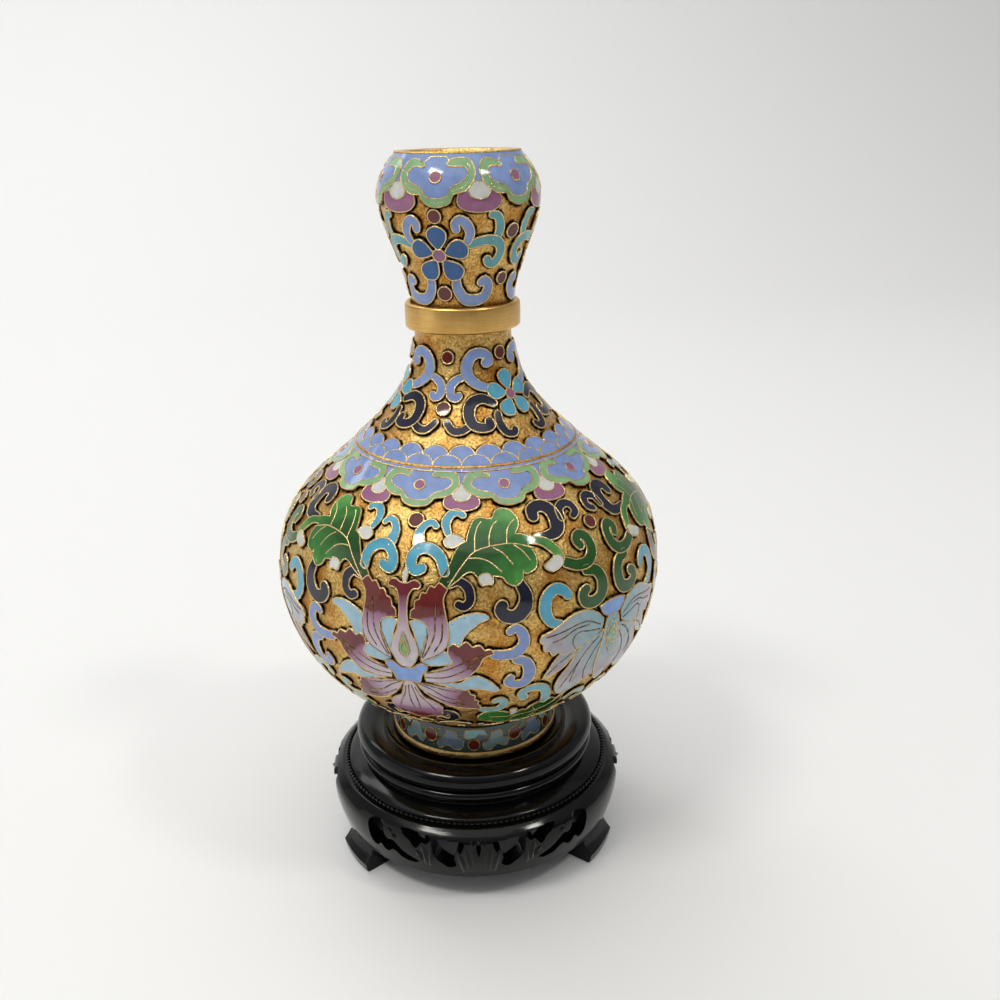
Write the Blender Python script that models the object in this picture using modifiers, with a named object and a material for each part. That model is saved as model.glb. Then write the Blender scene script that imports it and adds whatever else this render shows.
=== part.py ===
"""A miniature cloisonne vase on its carved black stand.

Three pieces: a hollow gilt copper vase with raised enamel bands and blossoms, a plain brass
ring round its neck, and a turned and pierced black wooden stand on three feet.
Metres, +Z up. The origin is on the table, under the middle of the stand, and the front is -Y.
"""
import bpy
import bmesh
from math import atan2, cos, degrees, hypot, pi, radians, sin, sqrt
from mathutils import Matrix, Vector

MM = 0.001

# Vase: heights stack up from its foot, radii are over the enamel
FOOT_RADIUS = 15.0 * MM
FOOT_WALL = 1.6 * MM
FOOT_RIM_HEIGHT = 0.8 * MM
FOOT_HEIGHT = 6.7 * MM
SEAM_RADIUS = 14.2 * MM
LOWER_BELLY_RISE = 26.2 * MM
BELLY_RADIUS = 32.7 * MM
SHOULDER_RISE = 21.8 * MM
SHOULDER_RADIUS = 18.1 * MM
NECK_RISE = 19.3 * MM
NECK_RADIUS = 8.25 * MM
BULB_RISE = 19.4 * MM
BULB_RADIUS = 12.8 * MM
MOUTH_RISE = 6.6 * MM
MOUTH_RADIUS = 9.7 * MM
WALL = 1.1 * MM
RELIEF = 0.45 * MM

# Where each curve of the outline leaves or meets its station, in degrees above outwards
SEAM_SLOPE = 24.3
SHOULDER_SLOPE = 134.7
MOUTH_SLOPE = 122.3

# Enamel bands and figures, as lengths along the outline from the seam over the foot
COLLAR_LOWER_EDGE = 54.0 * MM
COLLAR_UPPER_EDGE = 65.1 * MM
COLLAR_LAPPETS = 10
MOUTH_LOWER_EDGE = 102.4 * MM
MOUTH_LAPPETS = 6
SCALLOP_DEPTH = 1.5 * MM
PATTERN_TURN = -2.0
BLOSSOMS = 6
BLOSSOM_AZIMUTH = -18.0
BLOSSOM_CENTRE = 33.0 * MM
BLOSSOM_WIDTH = 26.0 * MM
BLOSSOM_HEIGHT = 22.0 * MM
BLOSSOM_PETALS = 10
BLOSSOM_NOTCH = 0.66

# Neck ring: a separate band round the top of the neck
RING_WALL = 1.25 * MM
RING_HEIGHT = 4.2 * MM
RING_RISE = 3.1 * MM
RING_ROUNDING = 0.45 * MM

# Stand: heights stack up from the table
FOOT_BLOCK_HEIGHT = 5.1 * MM
DRUM_HEIGHT = 11.3 * MM
WAIST_HEIGHT = 4.5 * MM
LIP_HEIGHT = 1.9 * MM
DRUM_RADIUS = 27.0 * MM
DRUM_BASE_RADIUS = 25.3 * MM
DRUM_TOP_RADIUS = 22.3 * MM
WAIST_RADIUS = 20.1 * MM
WAIST_BEAD_RADIUS = 21.7 * MM
LIP_RADIUS = 21.8 * MM
SEAT_DEPTH = 1.4 * MM
SEAT_CLEARANCE = 1.2 * MM
SKIRT_WALL = 3.0 * MM
STAND_FEET = 3
STAND_FOOT_AZIMUTH = 60.0
STAND_FOOT_WIDTH = 9.6 * MM
STAND_FOOT_REACH = 26.6 * MM
STAND_FOOT_DEPTH = 8.0 * MM
STAND_FOOT_TOE = 1.8 * MM
STAND_FOOT_SHANK = 2.79 * MM

# Pieces that rest on or round each other keep this between them
TOUCH_GAP = 0.3 * MM

# How finely the solids are divided
VASE_SEGMENTS = 60
STAND_SEGMENTS = 44
RING_SEGMENTS = 36
SHARP_ANGLE = 40.0
BODY_ROW_STEP = 6.6 * MM
NECK_ROW_STEP = 5.8 * MM
MOUTH_ROW_STEP = 2.8 * MM
INNER_ROW_STEP = 9.3 * MM
EDGE_ROOM = 2.2 * MM

STAND_HEIGHT = FOOT_BLOCK_HEIGHT + DRUM_HEIGHT + WAIST_HEIGHT + LIP_HEIGHT
SEAT_LEVEL = STAND_HEIGHT - SEAT_DEPTH
SEAT_RADIUS = FOOT_RADIUS + SEAT_CLEARANCE
VASE_BASE = SEAT_LEVEL + TOUCH_GAP
SEAM_LEVEL = VASE_BASE + FOOT_HEIGHT
BELLY_LEVEL = SEAM_LEVEL + LOWER_BELLY_RISE
SHOULDER_LEVEL = BELLY_LEVEL + SHOULDER_RISE
NECK_LEVEL = SHOULDER_LEVEL + NECK_RISE
BULB_LEVEL = NECK_LEVEL + BULB_RISE
MOUTH_LEVEL = BULB_LEVEL + MOUTH_RISE


def start_empty():
    """Remove what the scene holds, and make the two collections."""
    for thing in list(bpy.data.objects):
        bpy.data.objects.remove(thing, do_unlink=True)
    parts = bpy.data.collections.new("cloisonne_vase")
    tools = bpy.data.collections.new("cutters")
    bpy.context.scene.collection.children.link(parts)
    bpy.context.scene.collection.children.link(tools)
    return parts, tools


def plain_material(name, colour, metallic, roughness):
    material = bpy.data.materials.new(name)
    material.use_nodes = True
    shader = material.node_tree.nodes["Principled BSDF"]
    shader.inputs["Base Color"].default_value = (*colour, 1.0)
    shader.inputs["Metallic"].default_value = metallic
    shader.inputs["Roughness"].default_value = roughness
    return material


def add_object(name, mesh, collection, material=None):
    thing = bpy.data.objects.new(name, mesh)
    collection.objects.link(thing)
    if material:
        mesh.materials.append(material)
    return thing


def hide_tool(thing):
    thing.hide_render = True
    thing.display_type = "WIRE"
    return thing


def boolean(target, tool, operation):
    step = target.modifiers.new(tool.name, "BOOLEAN")
    step.operation = operation
    step.solver = "EXACT"
    step.object = tool
    return step


def plain_mesh(thing, name):
    """The evaluated mesh of an object, its loose caps and poles welded."""
    bpy.context.view_layer.update()
    evaluated = thing.evaluated_get(bpy.context.evaluated_depsgraph_get())
    mesh = bpy.data.meshes.new_from_object(evaluated)
    mesh.name = name
    editing = bmesh.new()
    editing.from_mesh(mesh)
    bmesh.ops.remove_doubles(editing, verts=editing.verts, dist=0.001 * MM)
    bmesh.ops.recalc_face_normals(editing, faces=editing.faces)
    editing.to_mesh(mesh)
    editing.free()
    return mesh


def shade(mesh):
    mesh.shade_smooth()
    mesh.set_sharp_from_angle(angle=radians(SHARP_ANGLE))


def turned(name, profile, segments, collection, material=None):
    """Turn a profile of (radius, height), given down its outer side, about the Z axis."""
    mesh = bpy.data.meshes.new(name)
    points = [(radius, 0.0, height) for radius, height in profile]
    mesh.from_pydata(points, [(i, i + 1) for i in range(len(points) - 1)], [])
    lathe = add_object(name + "_profile", mesh, collection)
    screw = lathe.modifiers.new("turn", "SCREW")
    screw.axis = "Z"
    screw.angle = 2 * pi
    screw.steps = segments
    screw.render_steps = segments
    screw.use_merge_vertices = True
    screw.merge_threshold = 0.001 * MM
    solid = add_object(name, plain_mesh(lathe, name), collection, material)
    bpy.data.objects.remove(lathe, do_unlink=True)
    shade(solid.data)
    return solid


def bezier(start, start_handle, end_handle, end, count):
    """Points on one cubic curve, its start left out."""
    points = []
    for i in range(1, count + 1):
        t = i / count
        weights = ((1 - t) ** 3, 3 * (1 - t) ** 2 * t, 3 * (1 - t) * t * t, t ** 3)
        points.append(tuple(
            sum(w * p[k] for w, p in zip(weights, (start, start_handle, end_handle, end))) for k in (0, 1)))
    return points


def step_from(point, slope, length):
    return (point[0] + length * cos(radians(slope)), point[1] + length * sin(radians(slope)))


class Outline:
    """The enamelled outline of the vase, from the seam over the foot up to the mouth."""

    SAMPLES = 60

    def __init__(self):
        seam = (SEAM_RADIUS, SEAM_LEVEL)
        belly = (BELLY_RADIUS, BELLY_LEVEL)
        shoulder = (SHOULDER_RADIUS, SHOULDER_LEVEL)
        neck = (NECK_RADIUS, NECK_LEVEL)
        bulb = (BULB_RADIUS, BULB_LEVEL)
        mouth = (MOUTH_RADIUS, MOUTH_LEVEL)
        # station, slope and handle as a share of the rise at both ends of each curve
        curves = (
            (seam, SEAM_SLOPE, 0.43, belly, 90.0, 0.51, LOWER_BELLY_RISE),
            (belly, 90.0, 0.59, shoulder, SHOULDER_SLOPE, 0.40, SHOULDER_RISE),
            (shoulder, SHOULDER_SLOPE, 0.50, neck, 90.0, 0.50, NECK_RISE),
            (neck, 90.0, 0.48, bulb, 90.0, 0.27, BULB_RISE),
            (bulb, 90.0, 0.48, mouth, MOUTH_SLOPE, 0.26, MOUTH_RISE),
        )
        self.points = [seam]
        for start, slope, share, end, end_slope, end_share, rise in curves:
            self.points += bezier(
                start,
                step_from(start, slope, share * rise),
                step_from(end, end_slope, -end_share * rise),
                end,
                self.SAMPLES,
            )
        self.lengths = [0.0]
        for a, b in zip(self.points, self.points[1:]):
            self.lengths.append(self.lengths[-1] + hypot(b[0] - a[0], b[1] - a[1]))
        self.total = self.lengths[-1]

    def at(self, length, depth=0.0):
        """Radius and height at a length along the outline, sunk by a depth into the wall."""
        length = min(max(length, 0.0), self.total)
        i = 0
        while i < len(self.lengths) - 2 and self.lengths[i + 1] < length:
            i += 1
        a, b = self.points[i], self.points[i + 1]
        span = self.lengths[i + 1] - self.lengths[i]
        share = (length - self.lengths[i]) / span
        along = ((b[0] - a[0]) / span, (b[1] - a[1]) / span)
        radius = a[0] + share * (b[0] - a[0]) - depth * along[1]
        height = a[1] + share * (b[1] - a[1]) + depth * along[0]
        return radius, height


def scallop(azimuth, count):
    """0 at the middle of each lobe and 1 in the notches between them, for count lobes round the vase."""
    phase = (azimuth * count / 360.0) % 1.0
    return 1.0 - sqrt(abs(cos(pi * phase)))


def even(start, end, step):
    """Lengths from start to end, both kept, no further apart than step."""
    count = max(1, round((end - start) / step))
    return [start + (end - start) * i / count for i in range(count + 1)]


def vase_profile(outline):
    """The closed wall, from the floor inside up to the mouth, down the outside and under the foot."""
    collar_start = COLLAR_LOWER_EDGE + EDGE_ROOM + SCALLOP_DEPTH
    mouth_start = MOUTH_LOWER_EDGE + EDGE_ROOM + SCALLOP_DEPTH
    rows = [(s, RELIEF) for s in even(0.0, COLLAR_LOWER_EDGE - EDGE_ROOM, BODY_ROW_STEP)]
    rows += [(COLLAR_LOWER_EDGE, RELIEF), (COLLAR_LOWER_EDGE, 0.0)]
    rows += [(s, 0.0) for s in even(collar_start, COLLAR_UPPER_EDGE, NECK_ROW_STEP)]
    rows += [(s, RELIEF) for s in even(COLLAR_UPPER_EDGE, MOUTH_LOWER_EDGE - EDGE_ROOM, NECK_ROW_STEP)]
    rows += [(MOUTH_LOWER_EDGE, RELIEF), (MOUTH_LOWER_EDGE, 0.0)]
    rows += [(s, 0.0) for s in even(mouth_start, outline.total, MOUTH_ROW_STEP)]
    outer = [outline.at(s, depth) for s, depth in rows]
    inner = [outline.at(s, RELIEF + WALL) for s in even(FOOT_WALL, outline.total, INNER_ROW_STEP)]
    floor_level = inner[0][1]
    base_level = floor_level - WALL
    foot_inside = FOOT_RADIUS - FOOT_WALL
    band_radius = SEAM_RADIUS - RELIEF
    foot = [
        (0.0, base_level),
        (foot_inside, base_level),
        (foot_inside, VASE_BASE),
        (FOOT_RADIUS, VASE_BASE),
        (FOOT_RADIUS, VASE_BASE + FOOT_RIM_HEIGHT),
        (FOOT_RADIUS - RELIEF, VASE_BASE + FOOT_RIM_HEIGHT + RELIEF),
        (band_radius, SEAM_LEVEL - 2 * RELIEF),
    ]
    return [(0.0, floor_level)] + inner + list(reversed(outer)) + list(reversed(foot))


def scallop_edges(mesh, outline):
    """Draw the two enamel collars' lower edges up between their lappets."""
    edges = ((COLLAR_LOWER_EDGE, 2 * COLLAR_LAPPETS), (MOUTH_LOWER_EDGE, 2 * MOUTH_LAPPETS))
    near = 0.01 * MM
    for vertex in mesh.vertices:
        radius = hypot(vertex.co.x, vertex.co.y)
        azimuth = degrees(atan2(vertex.co.x, -vertex.co.y))
        for edge, lobes in edges:
            for depth in (0.0, RELIEF):
                at_radius, at_height = outline.at(edge, depth)
                if hypot(radius - at_radius, vertex.co.z - at_height) > near:
                    continue
                new_radius, new_height = outline.at(edge + SCALLOP_DEPTH * scallop(azimuth, lobes), depth)
                vertex.co = (
                    vertex.co.x * new_radius / radius,
                    vertex.co.y * new_radius / radius,
                    new_height,
                )


def relief_plate(editing, outline, azimuth, centre, figure):
    """Add a raised figure: points (across, along) round its edge, laid on the wall as a closed plate."""
    levels = ((1.0, RELIEF + 0.5 * WALL), (1.0, 0.0), (0.5, 0.0))
    loops = []
    for scale, depth in levels:
        loop = []
        for across, along in figure:
            radius, height = outline.at(centre + scale * along, depth)
            turn = radians(azimuth) + scale * across / outline.at(centre + scale * along)[0]
            loop.append(editing.verts.new((radius * sin(turn), -radius * cos(turn), height)))
        loops.append(loop)
    hubs = []
    for depth in (RELIEF + 0.5 * WALL, 0.0):
        radius, height = outline.at(centre, depth)
        turn = radians(azimuth)
        hubs.append(editing.verts.new((radius * sin(turn), -radius * cos(turn), height)))
    count = len(figure)
    for i in range(count):
        j = (i + 1) % count
        editing.faces.new((hubs[0], loops[0][j], loops[0][i]))
        for low, high in zip(loops, loops[1:]):
            editing.faces.new((low[i], low[j], high[j], high[i]))
        editing.faces.new((loops[-1][i], loops[-1][j], hubs[1]))


def blossom_figure():
    """A lotus seen from the side: petals fanned round its middle, each a tip between two notches."""
    count = 2 * BLOSSOM_PETALS
    figure = []
    for i in range(count):
        angle = pi * i / BLOSSOM_PETALS
        reach = 1.0 if i % 2 == 0 else BLOSSOM_NOTCH
        figure.append((0.5 * BLOSSOM_WIDTH * reach * cos(angle), 0.5 * BLOSSOM_HEIGHT * reach * sin(angle)))
    return figure


def make_vase(parts, tools):
    outline = Outline()
    gilt = plain_material("gilt_copper_and_enamel", (0.62, 0.42, 0.16), 0.6, 0.3)
    vase = turned("vase", vase_profile(outline), VASE_SEGMENTS, parts, gilt)
    scallop_edges(vase.data, outline)
    vase.data.transform(Matrix.Rotation(radians(PATTERN_TURN), 4, "Z"))
    editing = bmesh.new()
    spacing = 360.0 / BLOSSOMS
    for i in range(BLOSSOMS):
        azimuth = BLOSSOM_AZIMUTH + i * spacing
        relief_plate(editing, outline, azimuth, BLOSSOM_CENTRE, blossom_figure())
    mesh = bpy.data.meshes.new("enamel_figures")
    bmesh.ops.recalc_face_normals(editing, faces=editing.faces)
    editing.to_mesh(mesh)
    editing.free()
    figures = hide_tool(add_object("enamel_figures", mesh, tools))
    boolean(vase, figures, "UNION")
    return outline


def make_neck_ring(outline, parts):
    """A plain band with rounded edges, held just clear of the neck it goes round."""
    top = NECK_LEVEL + RING_RISE
    bottom = top - RING_HEIGHT
    inside = widest_ground(outline, bottom, top) + TOUCH_GAP
    outside = inside + RING_WALL
    corner = RING_ROUNDING
    profile = [
        (inside, bottom),
        (inside, top),
        (outside - corner, top),
        (outside, top - corner),
        (outside, bottom + corner),
        (outside - corner, bottom),
        (inside, bottom),
    ]
    brass = plain_material("brushed_brass", (0.55, 0.37, 0.13), 1.0, 0.35)
    return turned("neck_ring", profile, RING_SEGMENTS, parts, brass)


def widest_ground(outline, bottom, top):
    """The largest radius of the gilt ground between two heights on the neck."""
    found = []
    for radius, height in outline.points:
        if bottom <= height <= top:
            found.append(radius - RELIEF)
    return max(found)


def arc(centre, radius, start, end, count):
    """Points on an arc in the profile plane, angles in degrees from outwards towards up."""
    points = []
    for i in range(count + 1):
        angle = radians(start + (end - start) * i / count)
        points.append((centre[0] + radius * cos(angle), centre[1] + radius * sin(angle)))
    return points


def stand_profile():
    """From the middle of the seat, over the lip, down the drum and back under it."""
    drum_base = FOOT_BLOCK_HEIGHT
    drum_top = drum_base + DRUM_HEIGHT
    lip_base = drum_top + WAIST_HEIGHT
    lip_top = lip_base + LIP_HEIGHT
    lip_mid = lip_base + 0.5 * LIP_HEIGHT
    ridge = 0.35 * MM
    groove_radius = 0.5 * (SEAT_RADIUS + LIP_RADIUS)
    seat_edge = [
        (0.0, SEAT_LEVEL),
        (SEAT_RADIUS, SEAT_LEVEL),
        (SEAT_RADIUS + ridge, lip_top - 2 * ridge),
        (SEAT_RADIUS + 3 * ridge, lip_top - ridge),
        (groove_radius, lip_top - 2 * ridge),
    ]
    lip = [(LIP_RADIUS - LIP_HEIGHT, lip_top)]
    lip += arc((LIP_RADIUS - 0.5 * LIP_HEIGHT, lip_mid), 0.5 * LIP_HEIGHT, 70, -80, 3)
    waist_mid = drum_top + 0.42 * WAIST_HEIGHT
    bead = 0.2 * WAIST_HEIGHT
    waist = [
        (WAIST_RADIUS, lip_base - 0.2 * bead),
        (WAIST_RADIUS, waist_mid + 1.2 * bead),
    ]
    waist += arc((WAIST_BEAD_RADIUS - bead, waist_mid), bead, 60, -60, 2)
    waist += [(WAIST_BEAD_RADIUS - 0.6 * bead, drum_top + 0.2 * bead)]
    shoulder_drop = 0.37 * DRUM_HEIGHT
    widest = drum_top - shoulder_drop
    drum = [(DRUM_TOP_RADIUS, drum_top)]
    drum += bezier(
        (DRUM_TOP_RADIUS, drum_top),
        (DRUM_TOP_RADIUS + 0.75 * (DRUM_RADIUS - DRUM_TOP_RADIUS), drum_top - 0.22 * shoulder_drop),
        (DRUM_RADIUS, widest + 0.45 * shoulder_drop),
        (DRUM_RADIUS, widest),
        3,
    )
    drum += bezier(
        (DRUM_RADIUS, widest),
        (DRUM_RADIUS, widest - 0.4 * (widest - drum_base)),
        (DRUM_BASE_RADIUS + 0.3 * (DRUM_RADIUS - DRUM_BASE_RADIUS), drum_base + 0.3 * (widest - drum_base)),
        (DRUM_BASE_RADIUS, drum_base),
        3,
    )
    ceiling = drum_top - 0.5 * SKIRT_WALL
    hollow = [
        (DRUM_BASE_RADIUS - SKIRT_WALL, drum_base),
        (DRUM_RADIUS - SKIRT_WALL, widest),
        (DRUM_TOP_RADIUS - SKIRT_WALL, ceiling),
        (0.0, ceiling),
    ]
    return seat_edge + lip + waist + drum + hollow


def flat_figure(name, points, thickness, tools):
    """A closed outline of (across, up) points as a prism, thickness deep, centred on its own plane."""
    curve = bpy.data.curves.new(name, "CURVE")
    curve.dimensions = "2D"
    curve.fill_mode = "BOTH"
    curve.extrude = 0.5 * thickness
    spline = curve.splines.new("POLY")
    spline.points.add(len(points) - 1)
    for point, (across, up) in zip(spline.points, points):
        point.co = (across, up, 0.0, 1.0)
    spline.use_cyclic_u = True
    drawn = bpy.data.objects.new(name, curve)
    tools.objects.link(drawn)
    mesh = plain_mesh(drawn, name)
    bpy.data.objects.remove(drawn, do_unlink=True)
    return mesh


def rounded(points, pull=0.25):
    """Cut the corners of a closed outline once, so that it reads as carved with a gouge."""
    result = []
    count = len(points)
    for i in range(count):
        a, b = points[i], points[(i + 1) % count]
        for share in (pull, 1.0 - pull):
            result.append(tuple(a[k] + share * (b[k] - a[k]) for k in (0, 1)))
    return result


# Openings of one carved panel, right half: (degrees from its middle, share of the drum's height)
CENTRE_OPENING = ((4.5, 0.36), (7.5, 0.84), (16.0, 0.90), (17.5, 0.70), (14.0, 0.50), (13.0, 0.22))
SLANTED_OPENING = ((19.0, 0.24), (24.0, 0.30), (32.0, 0.60), (30.5, 0.72), (20.0, 0.42))
UPPER_OPENING = ((19.5, 0.66), (24.0, 0.74), (27.0, 0.90), (20.5, 0.94))
TALL_OPENING = ((34.5, 0.62), (37.5, 0.40), (41.0, 0.50), (41.5, 0.80), (38.0, 0.94), (34.5, 0.86))
PANEL_OPENINGS = (CENTRE_OPENING, SLANTED_OPENING, UPPER_OPENING, TALL_OPENING)


def carve_panels(stand, tools):
    """Pierce the skirt of the drum: one panel of openings between each pair of feet."""
    reach = DRUM_RADIUS + SKIRT_WALL
    depth = 3.2 * SKIRT_WALL
    carve_height = 0.92 * DRUM_HEIGHT
    cutter = bmesh.new()
    for panel in range(STAND_FEET):
        middle = panel * 360.0 / STAND_FEET
        for shape in PANEL_OPENINGS:
            for side in (1, -1):
                centre = sum(azimuth for azimuth, share in shape) / len(shape)
                points = [
                    (side * DRUM_RADIUS * radians(azimuth - centre), FOOT_BLOCK_HEIGHT + share * carve_height)
                    for azimuth, share in shape
                ]
                if side < 0:
                    points.reverse()
                mesh = flat_figure("opening", rounded(points), depth, tools)
                turn = Matrix.Rotation(radians(middle + side * centre), 4, "Z")
                place = turn @ Matrix.Translation((0.0, -(reach - 0.5 * depth), 0.0)) @ Matrix.Rotation(
                    radians(90), 4, "X")
                mesh.transform(place)
                cutter.from_mesh(mesh)
                bpy.data.meshes.remove(mesh)
    mesh = bpy.data.meshes.new("panel_openings")
    bmesh.ops.recalc_face_normals(cutter, faces=cutter.faces)
    cutter.to_mesh(mesh)
    cutter.free()
    openings = hide_tool(add_object("panel_openings", mesh, tools))
    boolean(stand, openings, "DIFFERENCE")


def add_stand_feet(stand, tools):
    """Three hoof feet that flare out from under the drum, between its panels."""
    heel = STAND_FOOT_REACH - STAND_FOOT_DEPTH
    root_level = FOOT_BLOCK_HEIGHT + 0.22 * DRUM_HEIGHT
    root_reach = DRUM_BASE_RADIUS - 0.25 * SKIRT_WALL
    shank_front = root_reach - 0.2 * STAND_FOOT_TOE
    side_view = [
        (heel, 0.0),
        (STAND_FOOT_REACH, 0.0),
        (STAND_FOOT_REACH + 0.1 * STAND_FOOT_TOE, STAND_FOOT_TOE),
        (shank_front, STAND_FOOT_TOE + 0.35 * FOOT_BLOCK_HEIGHT),
        (shank_front, FOOT_BLOCK_HEIGHT),
        (root_reach, root_level),
        (DRUM_BASE_RADIUS - 0.8 * SKIRT_WALL, root_level),
        (shank_front - STAND_FOOT_SHANK, 0.6 * FOOT_BLOCK_HEIGHT),
    ]
    feet = bmesh.new()
    for i in range(STAND_FEET):
        azimuth = STAND_FOOT_AZIMUTH + i * 360.0 / STAND_FEET
        mesh = flat_figure("foot", side_view, STAND_FOOT_WIDTH, tools)
        place = Matrix.Rotation(radians(azimuth - 90.0), 4, "Z") @ Matrix.Rotation(radians(90), 4, "X")
        mesh.transform(place)
        feet.from_mesh(mesh)
        bpy.data.meshes.remove(mesh)
    mesh = bpy.data.meshes.new("stand_feet")
    bmesh.ops.recalc_face_normals(feet, faces=feet.faces)
    feet.to_mesh(mesh)
    feet.free()
    blocks = hide_tool(add_object("stand_feet", mesh, tools))
    boolean(stand, blocks, "UNION")


def make_stand(parts, tools):
    lacquer = plain_material("black_lacquered_wood", (0.012, 0.012, 0.013), 0.0, 0.25)
    stand = turned("stand", stand_profile(), STAND_SEGMENTS, parts, lacquer)
    add_stand_feet(stand, tools)
    carve_panels(stand, tools)


def main():
    parts, tools = start_empty()
    outline = make_vase(parts, tools)
    make_neck_ring(outline, parts)
    make_stand(parts, tools)


main()
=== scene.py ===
"""Looks of a miniature cloisonne vase on its carved black stand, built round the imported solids.

The frame is in metres, +Z up, with the front at -Y. Shapes are drawn in millimetres: a place on the
vase is an azimuth in degrees from the front towards +X, a length up the wall and a lift off it.
"""

from math import ceil, cos, hypot, pi, radians, sin

import bpy
import bmesh
import numpy as np
from mathutils import Matrix, Vector
from mathutils.geometry import delaunay_2d_cdt


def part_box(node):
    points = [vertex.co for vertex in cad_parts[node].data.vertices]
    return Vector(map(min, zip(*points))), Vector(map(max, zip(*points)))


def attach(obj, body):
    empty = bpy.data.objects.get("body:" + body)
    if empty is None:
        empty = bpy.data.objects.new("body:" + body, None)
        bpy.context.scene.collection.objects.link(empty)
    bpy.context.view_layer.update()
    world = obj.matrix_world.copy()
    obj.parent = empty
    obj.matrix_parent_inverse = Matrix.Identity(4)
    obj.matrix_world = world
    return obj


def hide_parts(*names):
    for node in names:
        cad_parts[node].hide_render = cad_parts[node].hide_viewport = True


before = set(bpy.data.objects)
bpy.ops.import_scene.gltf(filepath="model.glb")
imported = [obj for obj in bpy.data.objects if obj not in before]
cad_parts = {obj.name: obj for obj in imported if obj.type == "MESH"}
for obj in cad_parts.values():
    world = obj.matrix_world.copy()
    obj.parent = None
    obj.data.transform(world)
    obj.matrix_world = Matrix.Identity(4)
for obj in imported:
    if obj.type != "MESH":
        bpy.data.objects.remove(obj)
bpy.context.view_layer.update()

MM = 0.001
VASE_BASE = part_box("vase")[0].z / MM
RING_LOW, RING_HIGH = (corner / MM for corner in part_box("neck_ring"))
STAND_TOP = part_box("stand")[1].z / MM

# Vase wall: radii over the enamel, heights above the foot
FOOT_RADIUS = 15.0
FOOT_HEIGHT = 6.7
SEAM_RADIUS = 14.2
RELIEF = 0.45
WALL = 1.1

# Cloisonne work: wires stand on the ground and hold the enamel, later layers lie over earlier ones
LAYER_STEP = 0.05
WIRE_WIDTH = 0.17
WIRE_PROUD = 0.032
VEIN_WIDTH = 0.14
STAINED_VEIN_WIDTH = 0.165
SKIRT_WIDTH = 0.62
ROOT_DEPTH = RELIEF + 0.12
ENAMEL_DISH = 0.015
OUTLINE_STEP = 0.42
PLATE_GRID = 1.0
ROUND_POINTS = 14
# a fully stained wire: how dark its crown turns, and how much of its shine goes
STAIN_DEPTH = 0.62
STAIN_DULLING = 0.85

# The pattern repeats every 120 degrees: an upright lotus, then an inverted one between two leaves.
# Its left half leans out by some degrees, over this height up the wall.
BODY_REPEATS = 3
HALF_REPEAT = 60.0
LOTUS_AZIMUTH = -18.0
LOTUS_LEAN = 4.0
LEAN_START = 38.0
LEAN_RUN = 10.0


def linear(code):
    """The scene's linear colour of an sRGB hex value."""
    parts = [int(code[i:i + 2], 16) / 255.0 for i in (1, 3, 5)]
    return (*(p / 12.92 if p <= 0.04045 else ((p + 0.055) / 1.055) ** 2.4 for p in parts), 1.0)


def add_node(tree, kind, links=None, **settings):
    """Add a node: settings are its options, links its inputs, each a value or another node's output."""
    node = tree.nodes.new(kind)
    for name, value in settings.items():
        setattr(node, name, value)
    for name, value in (links or {}).items():
        if isinstance(value, bpy.types.NodeSocket):
            tree.links.new(value, node.inputs[name])
        else:
            node.inputs[name].default_value = value
    return node


class Surface:
    """A surface turned about the axis, from its outline of (radius, height), bottom to top."""

    def __init__(self, outline):
        self.r, self.z = np.array(outline, float).T
        self.s = np.concatenate(([0.0], np.cumsum(np.hypot(np.diff(self.r), np.diff(self.z)))))
        self.out_r = np.gradient(self.z, self.s)
        self.out_z = -np.gradient(self.r, self.s)
        self.length = self.s[-1]

    def radius(self, s):
        return np.interp(s, self.s, self.r)

    def per_degree(self, s):
        """Millimetres along the wall in one degree of azimuth."""
        return radians(1.0) * self.radius(s)

    def profile(self, s, lift=0.0):
        """Radius and height at a length up the wall, lifted off it."""
        return (self.radius(s) + lift * np.interp(s, self.s, self.out_r),
                np.interp(s, self.s, self.z) + lift * np.interp(s, self.s, self.out_z))

    def place(self, azimuth, s, lift):
        """Points in metres."""
        azimuth, s, lift = (np.atleast_1d(v) for v in (azimuth, s, lift))
        r, z = self.profile(s, lift)
        turn = np.radians(azimuth)
        return np.stack((r * np.sin(turn), -r * np.cos(turn), z), axis=1) * MM


def bezier(a, b, c, d, count):
    """Points on one cubic curve, its start left out."""
    t = np.linspace(0.0, 1.0, count + 1)[1:, None]
    a, b, c, d = (np.array(p, float) for p in (a, b, c, d))
    return (1 - t) ** 3 * a + 3 * (1 - t) ** 2 * t * b + 3 * (1 - t) * t * t * c + t ** 3 * d


def curve(start, first, last, end, count):
    """The same points as a list of pairs, to add to a profile."""
    return [tuple(p) for p in bezier(start, first, last, end, count)]


def arc(centre, radius, start, end, count):
    """Points on an arc in the profile plane, angles in degrees from outwards towards up."""
    angles = np.radians(np.linspace(start, end, count + 1))
    return [(centre[0] + radius * cos(a), centre[1] + radius * sin(a)) for a in angles]


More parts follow.
